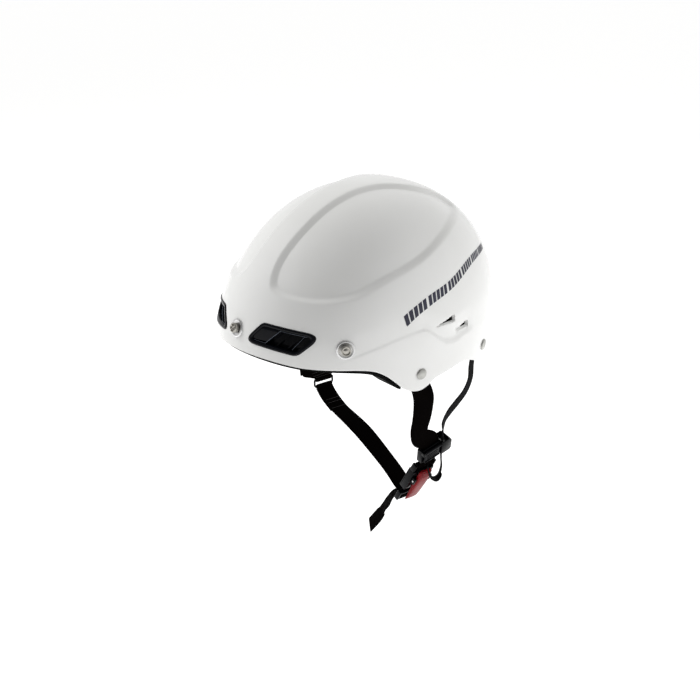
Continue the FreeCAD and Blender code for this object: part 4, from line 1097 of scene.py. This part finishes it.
def make_right_straps():
    for name, node, line, width, thick, look in (
            ("ear_strap_right", "right_ear_strap", RIGHT_EAR, WEBBING, THICK, "webbing_black"),
            ("rear_tape_right", "right_rear_tape", RIGHT_TAPE, TAPE, TAPE_THICK, "tape_grey")):
        batch = Batch()
        strap(batch, line, width, thick)
        batch.build(name, look, "shell", look, node, woven=True, degrees=50)
    outline = [(-2.5, -58.5), (9.5, -60.5), (44.5, -61.2), (43, -66), (36, -71.4), (15, -71.4), (1, -66)]
    to_yoke = frame_of((-89.4, 0, 0), Vector((0, 1, 0)), Vector((0, 0, 1)), Vector((1, 0, 0)))
    yoke = Batch()
    start = len(yoke.verts)
    yoke.solid(outline, 0, 2.8, to_yoke, 0.7, 3)
    yoke.uvs[start:] = [(v.y, v.z) for v in yoke.verts[start:]]
    around = turn_round(RING_TOP, 1.9, Vector((-1, 0, 0.35)).normalized(), Vector((-0.35, 0, -1)).normalized(),
                        290, ACROSS, 12)
    strap(yoke, around, WEBBING, THICK, 0.7)
    yoke.build("yoke_patch_right", "webbing_black", "shell", "webbing_black", "right_yoke_patch",
               woven=True, degrees=45)
    seams = Batch()
    for side, out in ((-89.4, -1), (-86.6, 1)):
        for a, b in (((11, -64.6), (42, -62.6)), ((12.5, -68), (40, -66.4)), ((16, -70), (36, -69.8))):
            stitch_row(seams, (side, *a), (side, *b), (out, 0, 0))
    seams.build("yoke_stitching", "thread_black", "shell", "webbing_black")


def ring_path(step_count=6):
    """Rectangular ring with round corners, seen along X."""
    half, corner = RING_WIDTH / 2 - WIRE, 1.4
    centre_y, x, high, low = RING_TOP.y, RING_TOP.x, RING_TOP.z, RING_TOP.z - RING_DROP
    path = []
    corners = ((centre_y + half - corner, high - corner, 0), (centre_y - half + corner, high - corner, 90),
               (centre_y - half + corner, low + corner, 180), (centre_y + half - corner, low + corner, 270))
    for cy, cz, begin in corners:
        for k in range(step_count + 1):
            angle = math.radians(begin + 90 * k / step_count)
            path.append((x, cy + corner * math.cos(angle), cz + corner * math.sin(angle)))
    return path


make_right_straps()
Batch().tube(ring_path(), WIRE, 14, closed=True).build("strap_ring", "wire_black", "ring", "wire_black", "wire_ring")


# ================================================================ chin strap
def make_chin_strap():
    ring_low = RING_TOP - Vector((0, 0, RING_DROP))
    adjuster = in_clasp(*ADJUSTER)
    wrap = 1.2 + 0.15 + THICK / 2
    upper_start = in_clasp(ADJUSTER[0] + wrap, -13)
    line = [(-85.4, -81.6), (-76.3, -89.6), (-60.5, -97.8), (-45, -102.2), (-31, -106.2), (-19, -110.4),
            (-9, -114.8), (1.4, -119.8), (11.5, -124.9), (21.5, -130), (31, -135.6)]
    twist = [0, 0, 0, 0.05, 0.12, 0.16, 0.14, 0.08, 0.03, 0, 0]
    middle = CLASP.y
    main = [((x, middle, z), (-t * 0.6, 1, t)) for (x, z), t in zip(line, twist)]
    fold = turn_round(ring_low, 1.9, Vector((0.55, 0, 0.83)), Vector((-0.83, 0, 0.55)), -200, ACROSS, 8)
    wrap_round = turn_round(adjuster, wrap, ALONG, OUT, 180, ACROSS, 8)
    edge, end = (-0.785, 0.62, 0), (-0.843, 0.507, 0.18)
    tail = [(tuple(in_clasp(ADJUSTER[0] - wrap, -5)), (0, 1, 0)), ((38.9, middle, -151.3), (-0.15, 1, 0)),
            ((35.4, middle, -155.2), (-0.35, 0.94, 0)), ((31.2, middle, -159.7), (-0.6, 0.8, 0)),
            ((25.5, middle, -165.9), edge), ((17.8, middle, -175.7), edge),
            ((13.8, 25, -183.4), (-0.8, 0.6, 0.1)), ((12.6, 22, -188.6), end), ((3.8, 16, -203.6), end)]
    batch = Batch()
    back_layer = [((x - 1.1, middle, z - 1.15), (0, 1, 0)) for x, z in line[2::-1]]
    first = fold[::-1] + main
    strap(batch, first + [(tuple(upper_start), (0, 1, 0))] + wrap_round + tail, WEBBING, THICK, 1.2)
    strap(batch, back_layer, WEBBING, THICK, 1.2)
    batch.build("chin_webbing", "webbing_black", "chin_strap", "webbing_black", "chin_strap", woven=True, degrees=50)
    seams = Batch()
    for share in (0.25, 0.5, 0.92):
        at = Vector((-76.3, middle, -89.6)).lerp(Vector((-60.5, middle, -97.8)), share)
        normal = Vector((0.46, 0, 0.89))
        for side in (1, -1):
            spot = at + normal * (0.75 if side > 0 else -2.35)
            stitch_row(seams, spot - ACROSS * 8.6, spot + ACROSS * 8.6, normal * side)
    seams.build("chin_stitching", "thread_black", "chin_strap", "webbing_black")


make_chin_strap()


# ================================================================ clasp
def box_outline(left, right, low, high):
    return [(left, low), (right, low), (right, high), (left, high)]


def make_clasp():
    tongue = Batch()
    for left, right in ((-13, -10.4), (10.4, 13)):
        tongue.solid(box_outline(left, right, 0, 12), -2.8, 2.2, clasp_place, 0.7, 3)
    tongue.solid(box_outline(-12.6, 12.6, 8.6, 12), -2.8, 2.2, clasp_place, 0.6, 3)
    tongue.solid(box_outline(-12.6, 12.6, 0, 1.5), -2.6, 2.0, clasp_place, 0.5, 3)
    for left, right in ((-9, -5), (5, 9)):
        tongue.solid([(left, 11), (right, 11), (right, 26), (left + (2 if left < 0 else 0), 28),
                      (left, 24)] if left < 0 else
                     [(left, 11), (right, 11), (right, 24), (right - 2, 28), (left, 26)],
                     -1.6, 0.4, clasp_place, 0.3)
    tongue.solid(box_outline(-6, 6, 11, 19.5), -1.6, 0.4, clasp_place, 0.3)
    tongue.solid(box_outline(-6, 6, 24, 27.9), -1.6, 0.4, clasp_place, 0.3)
    tongue.build("clasp_tongue_body", "clasp_black", "chin_strap", "clasp_black", "clasp_tongue")
    adjuster_place = frame_of(in_clasp(*ADJUSTER), ALONG, OUT * -1, ACROSS)
    knurl = [(1.2 - 0.12 * (k % 2), -10.2 + k * 0.4) for k in range(52)]
    Batch().lathe([(0, -10.3)] + knurl + [(0, 10.3)], adjuster_place, 24).build(
        "adjuster_rod", "bar_steel", "chin_strap", "bar_steel", "adjuster_bar", degrees=60)

    housing = Batch()
    housing.solid(box_outline(-13, 13, 19, 47), -5, -2.6, clasp_place, 0.9, 3)
    housing.solid(box_outline(-13, -10, 19.3, 47), -4.8, 3, clasp_place, 0.8, 3)
    housing.solid(box_outline(10, 13, 19.3, 47), -4.8, 3, clasp_place, 0.8, 3)
    housing.solid(box_outline(-12.5, 12.5, 29.6, 47), -4.5, 3, clasp_place, 0.7, 3)
    for left, right in ((-12.5, -5.6), (5.6, 12.5)):
        housing.solid(box_outline(left, right, 20.2, 31), 2.2, 3, clasp_place, 0.3)
    for left, right in ((-13, -10.6), (10.6, 13)):
        housing.solid(box_outline(left, right, 45, 55.5), -4, 2, clasp_place, 0.8, 3)
    for left, right in ((-11, -8.2), (8.2, 11)):
        housing.solid([(left, 32), (right, 32), (right, 40), (left, 40)], 2.4, 7.5, clasp_place, 1.0, 3)
    for k in range(4):
        housing.solid(box_outline(-9, 9, 24 + k * 4.5, 25.6 + k * 4.5), -5.0, -4.6, clasp_place, 0.2)
    bar_place = frame_of(in_clasp(*STRAP_BAR), ALONG, OUT * -1, ACROSS)
    housing.lathe([(0, -12), (1.6, -12), (1.6, 12), (0, 12)], bar_place, 24)
    housing.build("clasp_body", "clasp_black", "shell", "clasp_black", "clasp_housing")

    lever = Batch()
    section = [(4.2, 5.6, 6.4), (7, 5.45, 7.1), (12, 5.3, 7.6), (18.2, 4.9, 8.0), (26, 4.35, 8.4), (31, 4.35, 8.6),
               (36, 4.35, 8.6), (41, 4.35, 8.3), (46, 4.35, 7.6), (49.8, 4.6, 6.6)]
    rows = curve_through(section, 0.9)
    verts, faces = [], []
    half = 7.5
    for u, low, high in rows:
        end = min(u - 4.2, 49.8 - u)
        width = half - max(0, 1.8 - end) * 0.8
        ring = [(-width, low + 0.5), (-width, high - 1.3), (-width + 0.5, high - 0.55), (-width + 1.4, high - 0.15)]
        ring += [(-width * 0.4, high), (width * 0.4, high)]
        ring += [(-a, n) for a, n in ring[3::-1]]
        ring += [(width - 0.5, low), (-width + 0.5, low)]
        verts += [(a, u, n) for a, n in ring]
    size = 12
    count = len(rows)
    for i in range(count - 1):
        for k in range(size):
            a, b = i * size, (i + 1) * size
            faces.append((a + k, a + (k + 1) % size, b + (k + 1) % size, b + k))
    faces += [list(range(size))[::-1], [(count - 1) * size + k for k in range(size)]]
    lever.add(verts, faces, clasp_place)
    for k in range(4):
        lever.solid(box_outline(-5.6, 5.6, 41.2 + k * 1.9, 42.0 + k * 1.9), 7.2 - 0.25 * k, 8.45 - 0.3 * k,
                    clasp_place, 0.25)
    lever.solid(box_outline(-4.6, 4.6, 22, 25), 1.9, 5.0, clasp_place, 0.3)
    lever.build("clasp_release_lever", "lever_red", "lever", "lever_red", "release_lever", degrees=38)


def make_divider():
    divider = Batch()
    half, depth, face = 8, 6.7, 3.2
    divider.solid(box_outline(-17.3, -15.6, -half, half), -face, face, divider_place, 0.5, 3)
    for low, high in ((-face, -1.5), (1.5, face)):
        divider.solid(box_outline(-17.0, 6.4, -half, half), low, high, divider_place, 0.45, 3)
    divider.solid([(-17.3, 3.4), (-15.2, 3.4), (-15.2, half), (-17.3, half)], 2.4, depth, divider_place, 0.5, 3)
    divider.solid(box_outline(5.6, 6.8, -half, half), -depth, depth, divider_place, 0.4, 2)
    for low, high in ((-depth, -5.7), (5.7, depth)):
        divider.solid([(5.8, -half), (16.4, -half), (18.2, -half + 2), (18.2, half - 3), (15.4, half), (5.8, half)],
                      low, high, divider_place, 0.4, 2)
    divider.solid([(17.2, -half + 1.4), (18.6, -half + 2.4), (18.6, half - 3.4), (17.2, half - 2)],
                  -depth + 0.3, depth - 0.3, divider_place, 0.4, 2)
    divider.build("strap_divider_body", "clasp_black", "divider", "clasp_black", "strap_divider")
    gate = Batch()
    gate.solid(box_outline(-14.8, 5.2, -7.6, 5.4), 3.5, 5.2, divider_place, 0.5, 3)
    gate.solid(box_outline(-14.2, 4.6, -7.6, -6.2), 3.9, 5.9, divider_place, 0.5, 3)
    for k in range(3):
        gate.solid(box_outline(-11.5, 1.9, -4.6 + k * 2.4, -3.6 + k * 2.4), 4.8, 5.55, divider_place, 0.25)
    hinge = divider_place @ Matrix.Translation((-14.8, 5.6, 5.1)) @ Matrix.Rotation(math.radians(90), 4, "Y")
    gate.lathe([(0.86, 0), (1.4, 0), (1.6, 0.2), (1.6, 19.8), (1.4, 20), (0.86, 20), (0.86, 0)], hinge, 28)
    gate.build("divider_gate_flap", "clasp_black", "gate", "clasp_black", "divider_gate")


make_clasp()
make_divider()
for bare in ("lever_pin", "lever_spring", "gate_pin"):
    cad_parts[bare].data.materials[0] = LOOK["bar_steel"]

# ================================================================ final update
bpy.context.view_layer.update()
